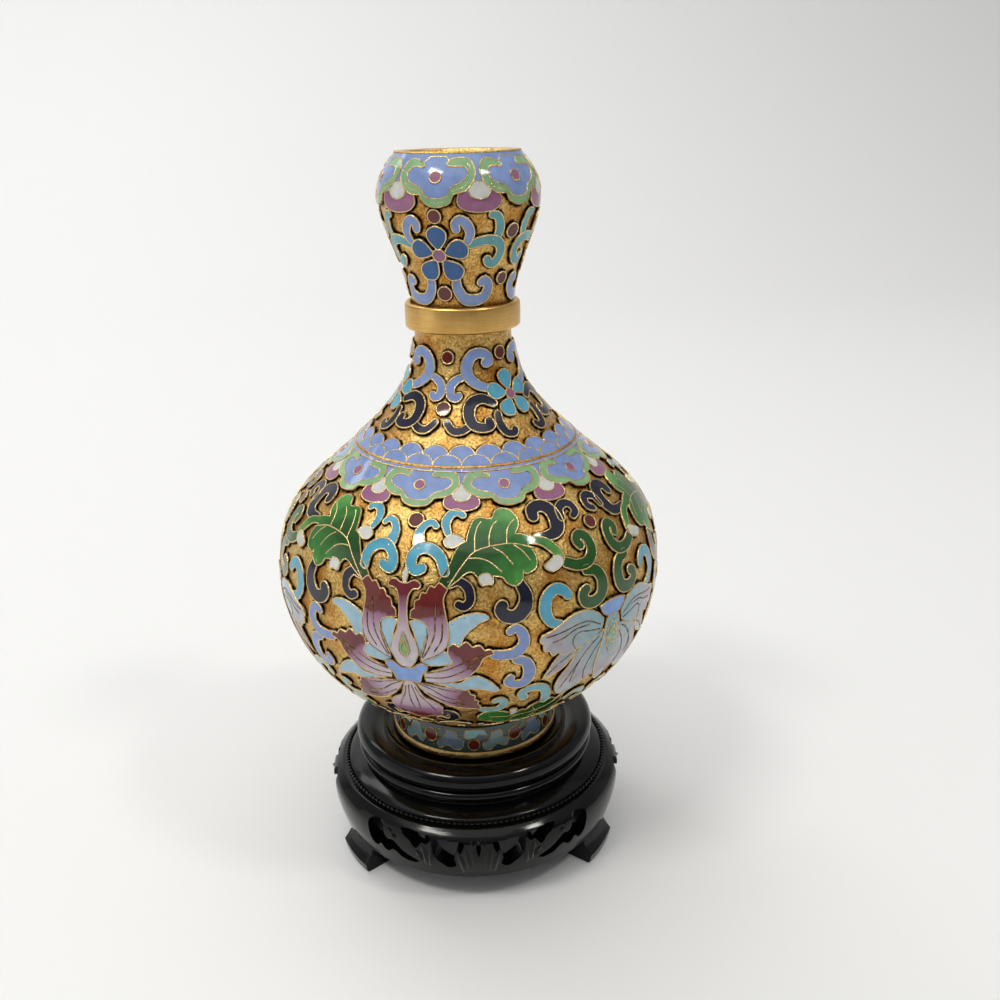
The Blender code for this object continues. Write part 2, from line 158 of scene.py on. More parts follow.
def vase_wall():
    """The enamelled wall from the seam over the foot up to the mouth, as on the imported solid."""
    # radius, height above the foot, slope in degrees, and the curve's handles before and after, in mm
    stations = (
        (SEAM_RADIUS, FOOT_HEIGHT, 24.3, 0.0, 11.27),
        (32.7, 32.9, 90.0, 13.36, 12.86),
        (18.1, 54.7, 134.7, 8.72, 9.65),
        (8.25, 74.0, 90.0, 9.65, 9.31),
        (12.8, 93.4, 90.0, 5.24, 3.17),
        (9.7, 100.0, 122.3, 1.72, 0.0),
    )
    points = [(SEAM_RADIUS, VASE_BASE + FOOT_HEIGHT)]
    for (r0, z0, slope0, _, leave), (r1, z1, slope1, meet, _) in zip(stations, stations[1:]):
        start = Vector((r0, VASE_BASE + z0))
        end = Vector((r1, VASE_BASE + z1))
        first = start + leave * Vector((cos(radians(slope0)), sin(radians(slope0))))
        last = end - meet * Vector((cos(radians(slope1)), sin(radians(slope1))))
        points += [tuple(p) for p in bezier(start, first, last, end, 60)]
    return Surface(points)


WALL_OUTSIDE = vase_wall()


def smooth_line(surface, points, closed):
    """A curve through chosen (degrees, mm) points. A point with a third value is a sharp corner."""
    places = [np.array(p[:2], float) for p in points]
    corner = [len(p) > 2 for p in points]
    count = len(points)
    made = []
    for i in range(count if closed else count - 1):
        j = (i + 1) % count
        a, b = places[i], places[j]
        before = places[i - 1] if closed or i else 2 * a - b
        after = places[(j + 1) % count] if closed or j + 1 < count else 2 * b - a
        leave = b - a if corner[i] else 0.5 * (b - before)
        meet = b - a if corner[j] else 0.5 * (after - a)
        across = surface.per_degree(0.5 * (a[1] + b[1]))
        steps = max(2, ceil(hypot((b[0] - a[0]) * across, b[1] - a[1]) / OUTLINE_STEP))
        t = np.arange(steps)[:, None] / steps
        made.append((2 * t ** 3 - 3 * t ** 2 + 1) * a + (t ** 3 - 2 * t ** 2 + t) * leave
                    + (3 * t ** 2 - 2 * t ** 3) * b + (t ** 3 - t ** 2) * meet)
    if not closed:
        made.append(places[-1][None, :])
    return np.concatenate(made)


def sideways(surface, line, closed):
    """Unit steps to the right of a line at each of its points, in degrees and mm, for 1 mm each."""
    scale = surface.per_degree(line[:, 1])
    if closed:
        step = np.roll(line, -1, axis=0) - np.roll(line, 1, axis=0)
    else:
        step = np.gradient(line, axis=0)
    dx, dy = step[:, 0] * scale, step[:, 1]
    size = np.maximum(np.hypot(dx, dy), 1e-9)
    return np.stack((dy / size / scale, -dx / size), axis=1)


def anticlockwise(outline):
    """The outline in the order that turns left, whichever way it was drawn."""
    x, y = outline[:, 0], outline[:, 1]
    area = np.sum(x * np.roll(y, -1) - np.roll(x, -1) * y)
    return outline if area > 0 else outline[::-1]


def scroll_outline(surface, widths, spine):
    """A comma of enamel: its start, middle and knob widths in mm along a spine, with round ends."""
    line = smooth_line(surface, spine, closed=False)
    scale = surface.per_degree(line[:, 1])
    steps = np.hypot(np.diff(line[:, 0]) * scale[1:], np.diff(line[:, 1]))
    share = np.concatenate(([0.0], np.cumsum(steps)))
    share /= share[-1]
    start, middle, knob = widths
    half = 0.5 * np.interp(share, (0.0, 0.4, 0.78, 1.0), (start, middle, 0.5 * (middle + knob), knob))
    right = sideways(surface, line, closed=False)
    sides = []
    for side in (1, -1):
        edge = line + side * half[:, None] * right
        gap = np.hypot(
            (edge[:, None, 0] - line[None, :, 0]) * scale[None, :], edge[:, None, 1] - line[None, :, 1])
        clear = (gap > half[None, :] * 0.97).all(axis=1)
        clear[[0, -1]] = True
        sides.append(edge[clear])
    caps = []
    for end, towards in ((-1, 1.0), (0, -1.0)):
        across = right[end]
        along = np.array((-across[1] / scale[end], across[0] * scale[end])) * towards
        turns = np.radians(np.arange(20, 180, 20))[:, None]
        caps.append(line[end] + half[end] * (towards * across * np.cos(turns) + along * np.sin(turns)))
    return np.concatenate((sides[0], caps[0], sides[1][::-1], caps[1]))


def local_outline(surface, azimuth, s, points, size):
    """Points in mm right of and above a place on the wall, as (degrees, mm) points."""
    made = []
    for point in points:
        up = s + size[1] * point[1]
        made.append((azimuth + size[0] * point[0] / surface.per_degree(up), up, *point[2:]))
    return made


def round_outline(surface, azimuth, s, radius):
    turns = np.arange(ROUND_POINTS) * 2 * pi / ROUND_POINTS
    up = s + radius * np.sin(turns)
    return np.stack((azimuth + radius * np.cos(turns) / surface.per_degree(up), up), axis=1)


def gaps(places, others):
    """The distance from each place to each of the others, on a flat sheet."""
    return np.hypot(places[:, None, 0] - others[None, :, 0], places[:, None, 1] - others[None, :, 1])


def along(root, tip):
    """A tone that rises from 0 at a root to 1 at a tip, both (degrees, mm)."""
    def tone(surface, places):
        scale = surface.per_degree(0.5 * (root[1] + tip[1]))
        axis = np.array(((tip[0] - root[0]) * scale, tip[1] - root[1]))
        x, y = (places[:, 0] - root[0]) * scale, places[:, 1] - root[1]
        return np.clip((x * axis[0] + y * axis[1]) / axis.dot(axis), 0.0, 1.0)
    return tone


def away(rib, reach):
    """A tone that rises from 0 on a leaf's rib to 1 at a reach in mm from it."""
    def tone(surface, places):
        line = smooth_line(surface, rib, closed=False)
        flat = (surface.per_degree(line[:, 1].mean()), 1.0)
        return np.clip(gaps(places * flat, line * flat).min(axis=1) / reach, 0.0, 1.0)
    return tone


def leaf_shade(rib, reach):
    """A tone that rises from 0 at a leaf's stem to 1 at its tip and out in its lobes."""
    outward, onward = away(rib, reach), along(rib[0], rib[-1])

    def tone(surface, places):
        return np.clip(0.55 * outward(surface, places) + 0.6 * onward(surface, places) - 0.05, 0.0, 1.0)
    return tone


class Shape:
    """Points as (degrees, mm up the wall, lift), their faces, and the values that materials read."""

    def __init__(self, points, faces, tone=None, patina_and_shade=None, crown=None):
        self.points = points
        self.faces = faces
        none = np.zeros(len(points))
        self.values = {
            "tone": none if tone is None else tone,
            "patina_and_shade": none if patina_and_shade is None else patina_and_shade,
            "crown": none if crown is None else crown,
        }

    def placed(self, centre, side, lean):
        """The shape at an azimuth, turned over for side -1. Its upper part leans away from the middle."""
        points = self.points.copy()
        rise = np.clip((points[:, 1] - LEAN_START) / LEAN_RUN, 0.0, 1.0)
        points[:, 0] += lean * rise * rise * (3 - 2 * rise) * (1 - np.abs(points[:, 0]) / HALF_REPEAT)
        points[:, 0] = centre + side * points[:, 0]
        faces = self.faces if side > 0 else [face[::-1] for face in self.faces]
        return Shape(points, faces, **self.values)


def enamel_plate(surface, outline, level, tone_of):
    """A closed plate of enamel inside an outline, its face sunk a little between the wires."""
    scale = surface.per_degree(outline[:, 1].mean())
    edge = outline * (scale, 1.0)
    low, high = edge.min(axis=0), edge.max(axis=0)
    rows = np.arange(low[1] + 0.4, high[1], PLATE_GRID * 0.87)
    grid = [(x + (k % 2) * 0.5 * PLATE_GRID, y) for k, y in enumerate(rows)
            for x in np.arange(low[0] + 0.3, high[0], PLATE_GRID)]
    grid = np.array(grid) if grid else np.zeros((0, 2))
    after = np.roll(edge, -1, axis=0)
    if len(grid):
        crossing = (edge[None, :, 1] > grid[:, None, 1]) != (after[None, :, 1] > grid[:, None, 1])
        rise = np.where(np.abs(after[:, 1] - edge[:, 1]) < 1e-9, 1e-9, after[:, 1] - edge[:, 1])
        where = edge[:, 0] + (grid[:, None, 1] - edge[:, 1]) * (after[:, 0] - edge[:, 0]) / rise
        inside = (crossing & (grid[:, None, 0] < where)).sum(axis=1) % 2 == 1
        grid = grid[inside & (gaps(grid, edge).min(axis=1) > 0.4 * PLATE_GRID)]
    flat = [Vector(p) for p in np.concatenate((edge, grid))]
    found, _, faces, *_ = delaunay_2d_cdt(flat, [], [list(range(len(edge)))], 1, 1e-5)
    places = np.array([(p.x / scale, p.y) for p in found])
    gap = gaps(places * (scale, 1.0), edge).min(axis=1)
    top = level * LAYER_STEP - ENAMEL_DISH * np.clip(gap / (0.4 * PLATE_GRID), 0.0, 1.0)
    count = len(places)
    directed = {(f[i], f[(i + 1) % len(f)]) for f in faces for i in range(len(f))}
    sides = [(b, a, a + count, b + count) for a, b in sorted(directed) if (b, a) not in directed]
    under = [tuple(i + count for i in reversed(f)) for f in faces]
    tone = tone_of(surface, places) if tone_of else np.zeros(count)
    points = np.concatenate((
        np.column_stack((places, top)), np.column_stack((places, np.full(count, -ROOT_DEPTH)))))
    return Shape(points, [tuple(f) for f in faces] + sides + under, tone=np.tile(tone, 2))


def swept(surface, line, section, closed, stain=0.0):
    """A wire along a line: its section is (across to the right, lift, patina and painted shade, crown) in
    order.

    stain from 0 to 1, one for all or one for each point of the line, dulls its crown.
    """
    right = sideways(surface, line, closed)
    across, lift, patina_and_shade, crown = (np.array(column) for column in zip(*section))
    rows, width = len(line), len(section)
    places = line[:, None, :] + across[None, :, None] * right[:, None, :]
    points = np.concatenate((places, np.broadcast_to(lift[None, :, None], (rows, width, 1))), axis=2)
    faces = []
    for i in range(rows if closed else rows - 1):
        a, b = i * width, (i + 1) % rows * width
        for j in range(width):
            k = (j + 1) % width
            faces.append((a + j, a + k, b + k, b + j))
    if not closed:
        faces.append(tuple(reversed(range(width))))
        faces.append(tuple(range((rows - 1) * width, rows * width)))
    stain = np.broadcast_to(stain, (rows,))[:, None]
    patina_and_shade = np.maximum(patina_and_shade[None, :], STAIN_DEPTH * stain)
    crown = crown[None, :] * (1.0 - STAIN_DULLING * stain)
    return Shape(points.reshape(-1, 3), faces, patina_and_shade=patina_and_shade.ravel(), crown=crown.ravel())


def cell_wire(surface, outline, level, stain):
    """The gilt wire round a cell, down to the ground, with dark patina and painted shade along its foot."""
    half = 0.5 * WIRE_WIDTH
    top = level * LAYER_STEP
    # the section's third column darkens the gilt: patina and painted shade along the enamel's edge and down
    # the wall, fading out across a skirt on the ground
    section = (
        (-half - 0.05, top - 0.03, 1.0, 0.0),
        (-half, top + 0.4 * WIRE_PROUD, 0.35, 0.6),
        (-0.3 * half, top + WIRE_PROUD, 0.0, 1.0),
        (0.5 * half, top + WIRE_PROUD, 0.0, 1.0),
        (half, top - 0.01, 0.15, 0.8),
        (half + 0.03, -0.4 * RELIEF, 0.9, 0.1),
        (half + 0.07, -RELIEF + 0.03, 1.0, 0.0),
        (half + SKIRT_WIDTH, -RELIEF + 0.008, 0.0, 0.0),
        (half + SKIRT_WIDTH, -ROOT_DEPTH, 0.0, 0.0),
        (-half - 0.05, -ROOT_DEPTH, 0.0, 0.0),
    )
    return swept(surface, outline, section, closed=True, stain=stain)


def vein_wire(surface, points, level, stained):
    """A thin wire drawn on a cell, bright or stained dark."""
    half = 0.5 * (STAINED_VEIN_WIDTH if stained else VEIN_WIDTH)
    top = level * LAYER_STEP
    bright = 0.15 if stained else 1.0
    # its edges, where it meets the enamel, are darkened with patina and painted shade
    section = (
        (-half - 0.06, top - 0.05, 1.0, 0.0),
        (-half, top + 0.3 * WIRE_PROUD, 1.0 - 0.7 * bright, 0.8 * bright),
        (0.0, top + WIRE_PROUD, STAIN_DEPTH * (1.0 - bright), bright),
        (half, top + 0.3 * WIRE_PROUD, 1.0 - 0.7 * bright, 0.8 * bright),
        (half + 0.06, top - 0.05, 1.0, 0.0),
    )
    return swept(surface, smooth_line(surface, points, closed=False), section, closed=False)


def round_axis_tree():
    """Geometry Nodes: copies of a piece spaced evenly about the axis, joined and given their finish."""
    tree = bpy.data.node_groups.new("copies_round_the_axis", "GeometryNodeTree")
    for name, kind in (("Piece", "Geometry"), ("Copies", "Int"), ("Finish", "Material")):
        tree.interface.new_socket(name, in_out="INPUT", socket_type="NodeSocket" + kind)
    tree.interface.new_socket("Joined", in_out="OUTPUT", socket_type="NodeSocketGeometry")
    given = add_node(tree, "NodeGroupInput").outputs
    points = add_node(tree, "GeometryNodePoints", {"Count": given["Copies"]})
    index = add_node(tree, "GeometryNodeInputIndex")
    share = add_node(tree, "ShaderNodeMath", {0: index.outputs[0], 1: given["Copies"]}, operation="DIVIDE")
    turn = add_node(tree, "ShaderNodeMath", {0: share.outputs[0], 1: 2 * pi}, operation="MULTIPLY")
    spin = add_node(tree, "ShaderNodeCombineXYZ", {"Z": turn.outputs[0]})
    copies = add_node(tree, "GeometryNodeInstanceOnPoints", {
        "Points": points.outputs[0], "Instance": given["Piece"], "Rotation": spin.outputs[0]})
    real = add_node(tree, "GeometryNodeRealizeInstances", {"Geometry": copies.outputs[0]})
    finish = add_node(tree, "GeometryNodeSetMaterial", {
        "Geometry": real.outputs[0], "Material": given["Finish"]})
    add_node(tree, "NodeGroupOutput", {"Joined": finish.outputs[0]})
    return tree


ROUND_AXIS = round_axis_tree()


def add_object(name, mesh):
    thing = bpy.data.objects.new(name, mesh)
    bpy.context.scene.collection.objects.link(thing)
    return thing


def finish_piece(thing, sharp=40.0):
    """Shade a finished piece and hand it to the frame."""
    thing.data.shade_smooth()
    thing.data.set_sharp_from_angle(angle=radians(sharp))
    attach(thing, "root")
    return thing


def baked(thing, name):
    """A plain mesh of an object with its modifiers applied, in a new object that takes its place."""
    bpy.context.view_layer.update()
    mesh = bpy.data.meshes.new_from_object(thing.evaluated_get(bpy.context.evaluated_depsgraph_get()))
    bpy.data.objects.remove(thing, do_unlink=True)
    mesh.name = name
    return add_object(name, mesh)


def copies_round_axis(name, mesh, copies, material):
    base = add_object(name + "_one", mesh)
    step = base.modifiers.new("copies", "NODES")
    step.node_group = ROUND_AXIS
    values = {"Copies": copies, "Finish": material}
    for socket in ROUND_AXIS.interface.items_tree:
        if socket.name in values:
            step[socket.identifier] = values[socket.name]
    return finish_piece(baked(base, name))


def shape_mesh(name, surface, shapes):
    """One mesh of several shapes on the same surface, with their values as point attributes."""
    mesh = bpy.data.meshes.new(name)
    points = np.concatenate([shape.points for shape in shapes])
    faces, start = [], 0
    for shape in shapes:
        faces += [tuple(i + start for i in face) for face in shape.faces]
        start += len(shape.points)
    mesh.from_pydata(surface.place(points[:, 0], points[:, 1], points[:, 2]).tolist(), [], faces)
    for value in ("tone", "patina_and_shade", "crown"):
        layer = mesh.attributes.new(value, "FLOAT", "POINT")
        layer.data.foreach_set("value", np.concatenate([shape.values[value] for shape in shapes]))
    return mesh


class Band:
    """One zone of the enamel work: what is drawn once and repeated round the vase."""

    def __init__(self, name, surface, copies):
        self.name, self.surface, self.copies = name, surface, copies
        self.plates, self.wires = {}, []

    def cell(self, colour, level, outline, places, tone=None, stained=0.0):
        """Fill an outline with enamel inside a wire, stained dark where the tone is low."""
        outline = anticlockwise(np.asarray(outline, float))
        plate = enamel_plate(self.surface, outline, level, tone)
        rise = tone(self.surface, outline) if tone else 0.0
        wire = cell_wire(self.surface, outline, level, stained * np.clip(1.3 - 1.5 * rise, 0.0, 1.0))
        for place in places:
            self.plates.setdefault(colour, []).append(plate.placed(*place))
            self.wires.append(wire.placed(*place))

    def drawn_cell(self, colour, level, points, places, tone=None, stained=0.0):
        self.cell(colour, level, smooth_line(self.surface, points, closed=True), places, tone, stained)

    def scroll(self, colour, level, widths, spine, places):
        self.cell(colour, level, scroll_outline(self.surface, widths, spine), places)

    def vein(self, level, points, places, stained=False):
        wire = vein_wire(self.surface, points, level, stained)
        self.wires += [wire.placed(*place) for place in places]

    def make(self):
        for colour in sorted(self.plates):
            name = f"{self.name}_{colour}"
            mesh = shape_mesh(name, self.surface, self.plates[colour])
            copies_round_axis(name, mesh, self.copies, GLAZES[colour])
        mesh = shape_mesh(self.name + "_wires", self.surface, self.wires)
        copies_round_axis(self.name + "_wires", mesh, self.copies, GILT)


def mirrored(points, axis):
    """Close half an outline, drawn from one crossing of its axis to the other, with its mirror image."""
    other = [(2 * axis - p[0], *p[1:]) for p in reversed(points) if abs(p[0] - axis) > 1e-6]
    return list(points) + other


# Finishes

def new_finish(name, values):
    """A material with plain values on its shader, its node tree and the piece's own coordinates."""
    material = bpy.data.materials.new(name)
    material.use_nodes = True
    tree = material.node_tree
    for socket, value in values.items():
        tree.nodes["Principled BSDF"].inputs[socket].default_value = value
    return material, tree, add_node(tree, "ShaderNodeTexCoord").outputs["Object"]


def dressed(material, colour, roughness, normal):
    """The material with its colour, roughness and bump joined to its shader."""
    tree = material.node_tree
    for socket, value in (("Base Color", colour), ("Roughness", roughness), ("Normal", normal)):
        tree.links.new(value, tree.nodes["Principled BSDF"].inputs[socket])
    return material


def point_value(tree, name):
    """A value that the mesh keeps on its points."""
    return add_node(tree, "ShaderNodeAttribute", attribute_name=name).outputs["Fac"]


def noise(tree, place, size, detail=3.0, roughness=0.5):
    """Noise with features of a size in the units of its coordinates."""
    return add_node(tree, "ShaderNodeTexNoise", {
        "Vector": place, "Scale": 1 / size, "Detail": detail, "Roughness": roughness}).outputs["Fac"]


def stretched(tree, place, across, upward):
    """Coordinates with so many units in a metre across and upward."""
    return add_node(tree, "ShaderNodeMapping", {
        "Vector": place, "Scale": (across, across, upward)}).outputs[0]


def ranged(tree, value, given, wanted=(0.0, 1.0), **settings):
    """A value's given range stretched to the wanted one and held at its ends."""
    return add_node(tree, "ShaderNodeMapRange", {
        "Value": value, "From Min": given[0], "From Max": given[1], "To Min": wanted[0], "To Max": wanted[1]},
        **settings).outputs[0]


def product_sum(tree, value, factor, added):
    """A value times a factor, plus what is added."""
    return add_node(
        tree, "ShaderNodeMath", {0: value, 1: factor, 2: added}, operation="MULTIPLY_ADD").outputs[0]


def mixed(tree, share, first, second, blend="MIX"):
    """The first colour at a share of 0, the second at 1."""
    return add_node(
        tree, "ShaderNodeMix", {0: share, 6: first, 7: second}, data_type="RGBA", blend_type=blend).outputs[2]


def colour_ramp(tree, value, stops):
    """A colour for a value, from (value, colour) stops in order."""
    node = add_node(tree, "ShaderNodeValToRGB", {"Fac": value})
    elements = node.color_ramp.elements
    for i, (position, code) in enumerate(stops):
        stop = elements[i] if i < 2 else elements.new(position)
        stop.position = position
        stop.color = linear(code)
    return node.outputs["Color"]


def bumped(tree, height, strength, distance, **links):
    return add_node(tree, "ShaderNodeBump", {
        "Height": height, "Strength": strength, "Distance": distance, **links}).outputs[0]


def gilt_copper():
    """Fire-gilt copper: a warm, grained ground with dark patina and painted shade in the corners, bright on
    the wires.
    """
    material, tree, place = new_finish("fire_gilt_copper", {"Metallic": 1.0})
    crown = point_value(tree, "crown")
    # drawn a little coarser than the real stipple so that the grains show
    grain = noise(tree, place, 0.35 * MM, roughness=0.6)
    tint = colour_ramp(tree, noise(tree, place, 5.0 * MM), ((0.34, "#cd9040"), (0.62, "#f5cf7e")))
    speck = ranged(tree, grain, (0.36, 0.60), (0.35, 1.0))
    speckled = mixed(tree, speck, linear("#6a3e14"), tint)
    wire = mixed(tree, crown, speckled, linear("#e6cd94"))
    # the darkening is patina and painted shade along the foot of each wire, and stain on stained wires; its
    # edge wanders by some tenths of a millimetre
    wander = product_sum(tree, noise(tree, place, 0.9 * MM), 1.4, point_value(tree, "patina_and_shade"))
    stain = ranged(tree, wander, (1.02, 1.6))
    dark = mixed(tree, stain, wire, linear("#170e08"))
    rough = product_sum(tree, stain, 0.3, ranged(tree, crown, (0.0, 1.0), (0.33, 0.24)))
    # hammer marks under the grain
    dents = bumped(tree, noise(tree, place, 1.6 * MM, 2.0), 0.6, 0.5 * MM)
    return dressed(material, dark, rough, bumped(tree, grain, 0.8, 0.2 * MM, Normal=dents))


def enamel(name, stops):
    """Fired glass enamel, ground and polished: glossy, faintly clouded, with a few dark pits.

    stops are (tone, colour) pairs: one colour for a plain cell, more for a shaded one.
    """
    material, tree, place = new_finish("glass_enamel_" + name, {"IOR": 1.52})
    cloud = noise(tree, place, 1.6 * MM, 4.0)
    colour = linear(stops[0][1])
    if len(stops) > 1:
        wander = ranged(tree, cloud, (0.25, 0.75), (-0.05, 0.05))
        colour = colour_ramp(tree, product_sum(tree, point_value(tree, "tone"), 1.0, wander), stops)
    clouded = mixed(tree, 1.0, colour, ranged(tree, cloud, (0.3, 0.7), (0.86, 1.1)), "MULTIPLY")
    # gas pits about 0.15 mm wide, in a fifth of the cells of a 0.9 mm pattern
    cells = add_node(tree, "ShaderNodeTexVoronoi", {"Vector": place, "Scale": 1 / (0.9 * MM)}).outputs
    chosen = ranged(tree, cells["Color"], (0.80, 0.82))
    pit = product_sum(tree, chosen, ranged(tree, cells["Distance"], (0.07, 0.12), (1.0, 0.0)), 0.0)
    pitted = mixed(tree, pit, clouded, linear("#17120f"))
    return dressed(material, pitted, product_sum(tree, pit, 0.5, 0.09), bumped(tree, cloud, 0.12, 0.1 * MM))


PLAIN_ENAMELS = {
    "turquoise": "#539fba",
    "dull_turquoise": "#74abb2",
    "sky": "#9dbfd1",
    "lavender": "#7d93c3",
    "calyx_blue": "#7fa2da",
    "navy": "#1b1b2e",
    "deep_blue": "#26588f",
    # the foot's three glazes are darkened copies: painted shade for the shadow the body casts on the foot
    "foot_ground_painted_shade": "#3c5251",
    "foot_blue": "#66788f",
    "foot_pale": "#7a959a",
    "teal": "#5c9fa6",
    "dark_green": "#24501f",
    "sage": "#84ab7d",
    "mauve": "#935f80",
    "white": "#c9cbc6",
    "pale_green": "#93b08f",
    "leaf_light": "#7fb56c",
    "brown": "#5c211d",
}
SHADED_ENAMELS = {
    "leaf": ((0.0, "#183c12"), (0.35, "#214f1b"), (0.68, "#35742f"), (1.0, "#66a855")),
    "lotus": (
        (0.0, "#c9bec5"), (0.3, "#bdaab7"), (0.48, "#a7869d"), (0.6, "#8f617e"), (0.65, "#641f20"),
        (1.0, "#6d2625")),
    "pistil": ((0.0, "#cdc6cb"), (0.48, "#bdacb9"), (0.7, "#99708c"), (0.86, "#6b2b33"), (1.0, "#6b2b33")),
    "pale_lotus": (
        (0.0, "#7fa9b3"), (0.35, "#95adb4"), (0.62, "#a3a9af"), (0.8, "#a79fa9"), (1.0, "#b1b6b8")),
}


def brushed_brass():
    """A turned and hand-brushed brass ring: fine streaks round it, a few darker rubs."""
    material, tree, place = new_finish("brushed_brass", {"Metallic": 1.0})
    # streaks about 0.1 mm apart up the band and 4 mm long round it
    streak = noise(tree, stretched(tree, place, 250.0, 9000.0), 1.0)
    tint = mixed(tree, noise(tree, place, 4.0 * MM, 4.0), linear("#b88942"), linear("#f0c77c"))
    rubbed = mixed(tree, 1.0, tint, ranged(tree, streak, (0.3, 0.7), (0.85, 1.08)), "MULTIPLY")
    rough = ranged(tree, streak, (0.0, 1.0), (0.26, 0.42))
    return dressed(material, rubbed, rough, bumped(tree, streak, 0.2, 0.05 * MM))


def black_lacquer():
    """Turned hardwood under black lacquer: glossy, with faint turning lines and a dusty bloom."""
    material, tree, place = new_finish("black_lacquered_wood", {"IOR": 1.5, "Specular IOR Level": 0.24})
    tint = mixed(tree, noise(tree, place, 5.0 * MM, 5.0), linear("#030303"), linear("#090a0a"))
    # turning lines 0.25 mm apart
    lines = noise(tree, stretched(tree, place, 120.0, 4000.0), 1.0)
    rough = ranged(tree, lines, (0.3, 0.7), (0.08, 0.17))
    return dressed(material, tint, rough, bumped(tree, lines, 0.15, 0.1 * MM))


GILT = gilt_copper()
BRASS = brushed_brass()
LACQUER = black_lacquer()
GLAZES = {name: enamel(name, ((0.0, code),)) for name, code in PLAIN_ENAMELS.items()}
GLAZES.update({name: enamel(name, stops) for name, stops in SHADED_ENAMELS.items()})


# The lotus scroll on the body: places are (degrees from the lotus's axis, mm up the wall)

BODY_SCROLLS = (
    ("turquoise", 1, (1.5, 1.75, 1.5),
     ((10.9, 44.1), (9.7, 46.1), (6.9, 47.4), (3.6, 47.5), (1.4, 46.4), (1.3, 44.9), (2.8, 44.1),
      (4.4, 44.5))),
    ("turquoise", 0, (1.9, 1.3, 0.9), ((2.5, 48.4), (2.2, 50.1), (3.8, 51.4), (6.0, 51.7), (7.3, 51.1))),
    ("turquoise", 0, (1.0, 1.4, 1.0), ((11.4, 50.0), (10.4, 51.7), (11.8, 53.1), (14.4, 53.5), (16.1, 53.0))),
    ("navy", 0, (1.0, 1.5, 1.3),
     ((12.3, 42.2), (14.9, 42.7), (17.3, 41.7), (17.7, 39.9), (16.1, 39.0), (14.7, 39.3))),
    ("navy", 0, (1.6, 2.4, 1.8),
     ((31.4, 41.7), (32.6, 39.9), (31.9, 38.1), (29.6, 37.0), (27.0, 37.2), (25.6, 38.2), (26.1, 38.8))),
    ("turquoise", 0, (1.2, 2.0, 1.5),
     ((41.8, 34.5), (39.3, 35.1), (37.7, 37.0), (38.5, 39.1), (41.2, 40.1), (43.6, 39.6), (44.7, 38.8))),
    ("lavender", 1, (1.5, 1.9, 1.2),
     ((23.7, 31.0), (26.7, 30.8), (29.6, 31.1), (31.5, 32.4), (31.3, 34.0), (29.6, 35.1), (27.9, 34.7))),
    ("lavender", 0, (1.4, 2.0, 1.3),
     ((29.6, 29.7), (32.3, 29.0), (33.5, 27.0), (32.7, 25.1), (30.1, 24.6), (27.6, 25.3), (28.2, 26.2))),
    ("dull_turquoise", 0, (1.5, 1.6, 1.3),
     ((40.8, 18.0), (40.6, 20.1), (39.2, 22.2), (36.4, 23.1), (33.5, 22.9), (32.1, 21.8), (33.2, 20.9))),
    ("dull_turquoise", 0, (1.2, 1.3, 1.1),
     ((20.5, 18.5), (23.3, 18.2), (26.2, 18.7), (27.1, 20.1), (25.9, 21.2), (24.3, 20.9))),
    ("dark_green", 1, (1.6, 1.9, 1.4),
     ((46.0, 43.6), (49.4, 42.8), (53.2, 42.9), (55.6, 44.3), (55.4, 46.3), (53.2, 47.2), (51.4, 46.5),
      (52.2, 45.5))),
    ("dark_green", 0, (1.6, 2.2, 1.6),
     ((51.8, 41.7), (55.2, 41.1), (56.7, 39.2), (55.7, 37.2), (52.8, 36.5), (50.1, 37.0), (49.5, 38.3),
      (50.8, 38.8))),
    ("navy", 0, (1.0, 2.4, 1.8),
     ((39.0, 48.4), (43.1, 48.2), (46.5, 48.8), (47.8, 50.7), (46.7, 52.6), (43.6, 53.3), (40.7, 52.8),
      (40.1, 51.7))),
    ("navy", 0, (1.3, 1.5, 1.2),
     ((50.1, 50.5), (50.8, 52.0), (53.7, 52.7), (56.2, 52.2), (56.7, 50.9), (54.9, 50.3))),
    ("navy", 0, (1.3, 1.5, 1.2),
     ((6.5, 14.9), (8.4, 14.0), (10.9, 14.9), (11.0, 16.8), (9.1, 17.6), (7.9, 16.5))),
    ("navy", 0, (0.9, 1.3, 1.0),
     ((3.2, 9.0), (5.8, 11.2), (10.6, 11.9), (15.0, 10.8), (15.2, 8.9), (12.0, 8.6))),
    ("dull_turquoise", 0, (0.8, 1.2, 1.0), ((20.4, 10.2), (20.6, 8.4), (25.0, 7.4), (29.4, 8.4))),
    ("navy", 0, (0.9, 1.4, 1.1),
     ((44.0, 9.4), (47.8, 8.6), (52.4, 9.2), (54.6, 11.2), (52.4, 12.9), (50.0, 12.2))),
    ("dull_turquoise", 0, (0.9, 1.3, 1.1),
     ((50.6, 16.4), (52.6, 17.8), (56.2, 17.6), (57.6, 15.8), (55.8, 14.8))),
    ("dull_turquoise", 0, (0.8, 1.1, 0.9), ((34.4, 8.9), (38.6, 7.6), (41.0, 8.8))),
)

RIGHT = (LOTUS_AZIMUTH, 1, 0.0)
LEFT = (LOTUS_AZIMUTH, -1, LOTUS_LEAN)
BOTH = (RIGHT, LEFT)

# Cells of the lotuses: enamel, layer, stain of the wire, where the shading starts and ends, outline.
# A third value of 1 in an outline is a sharp corner. A middle cell is drawn as one half of itself.

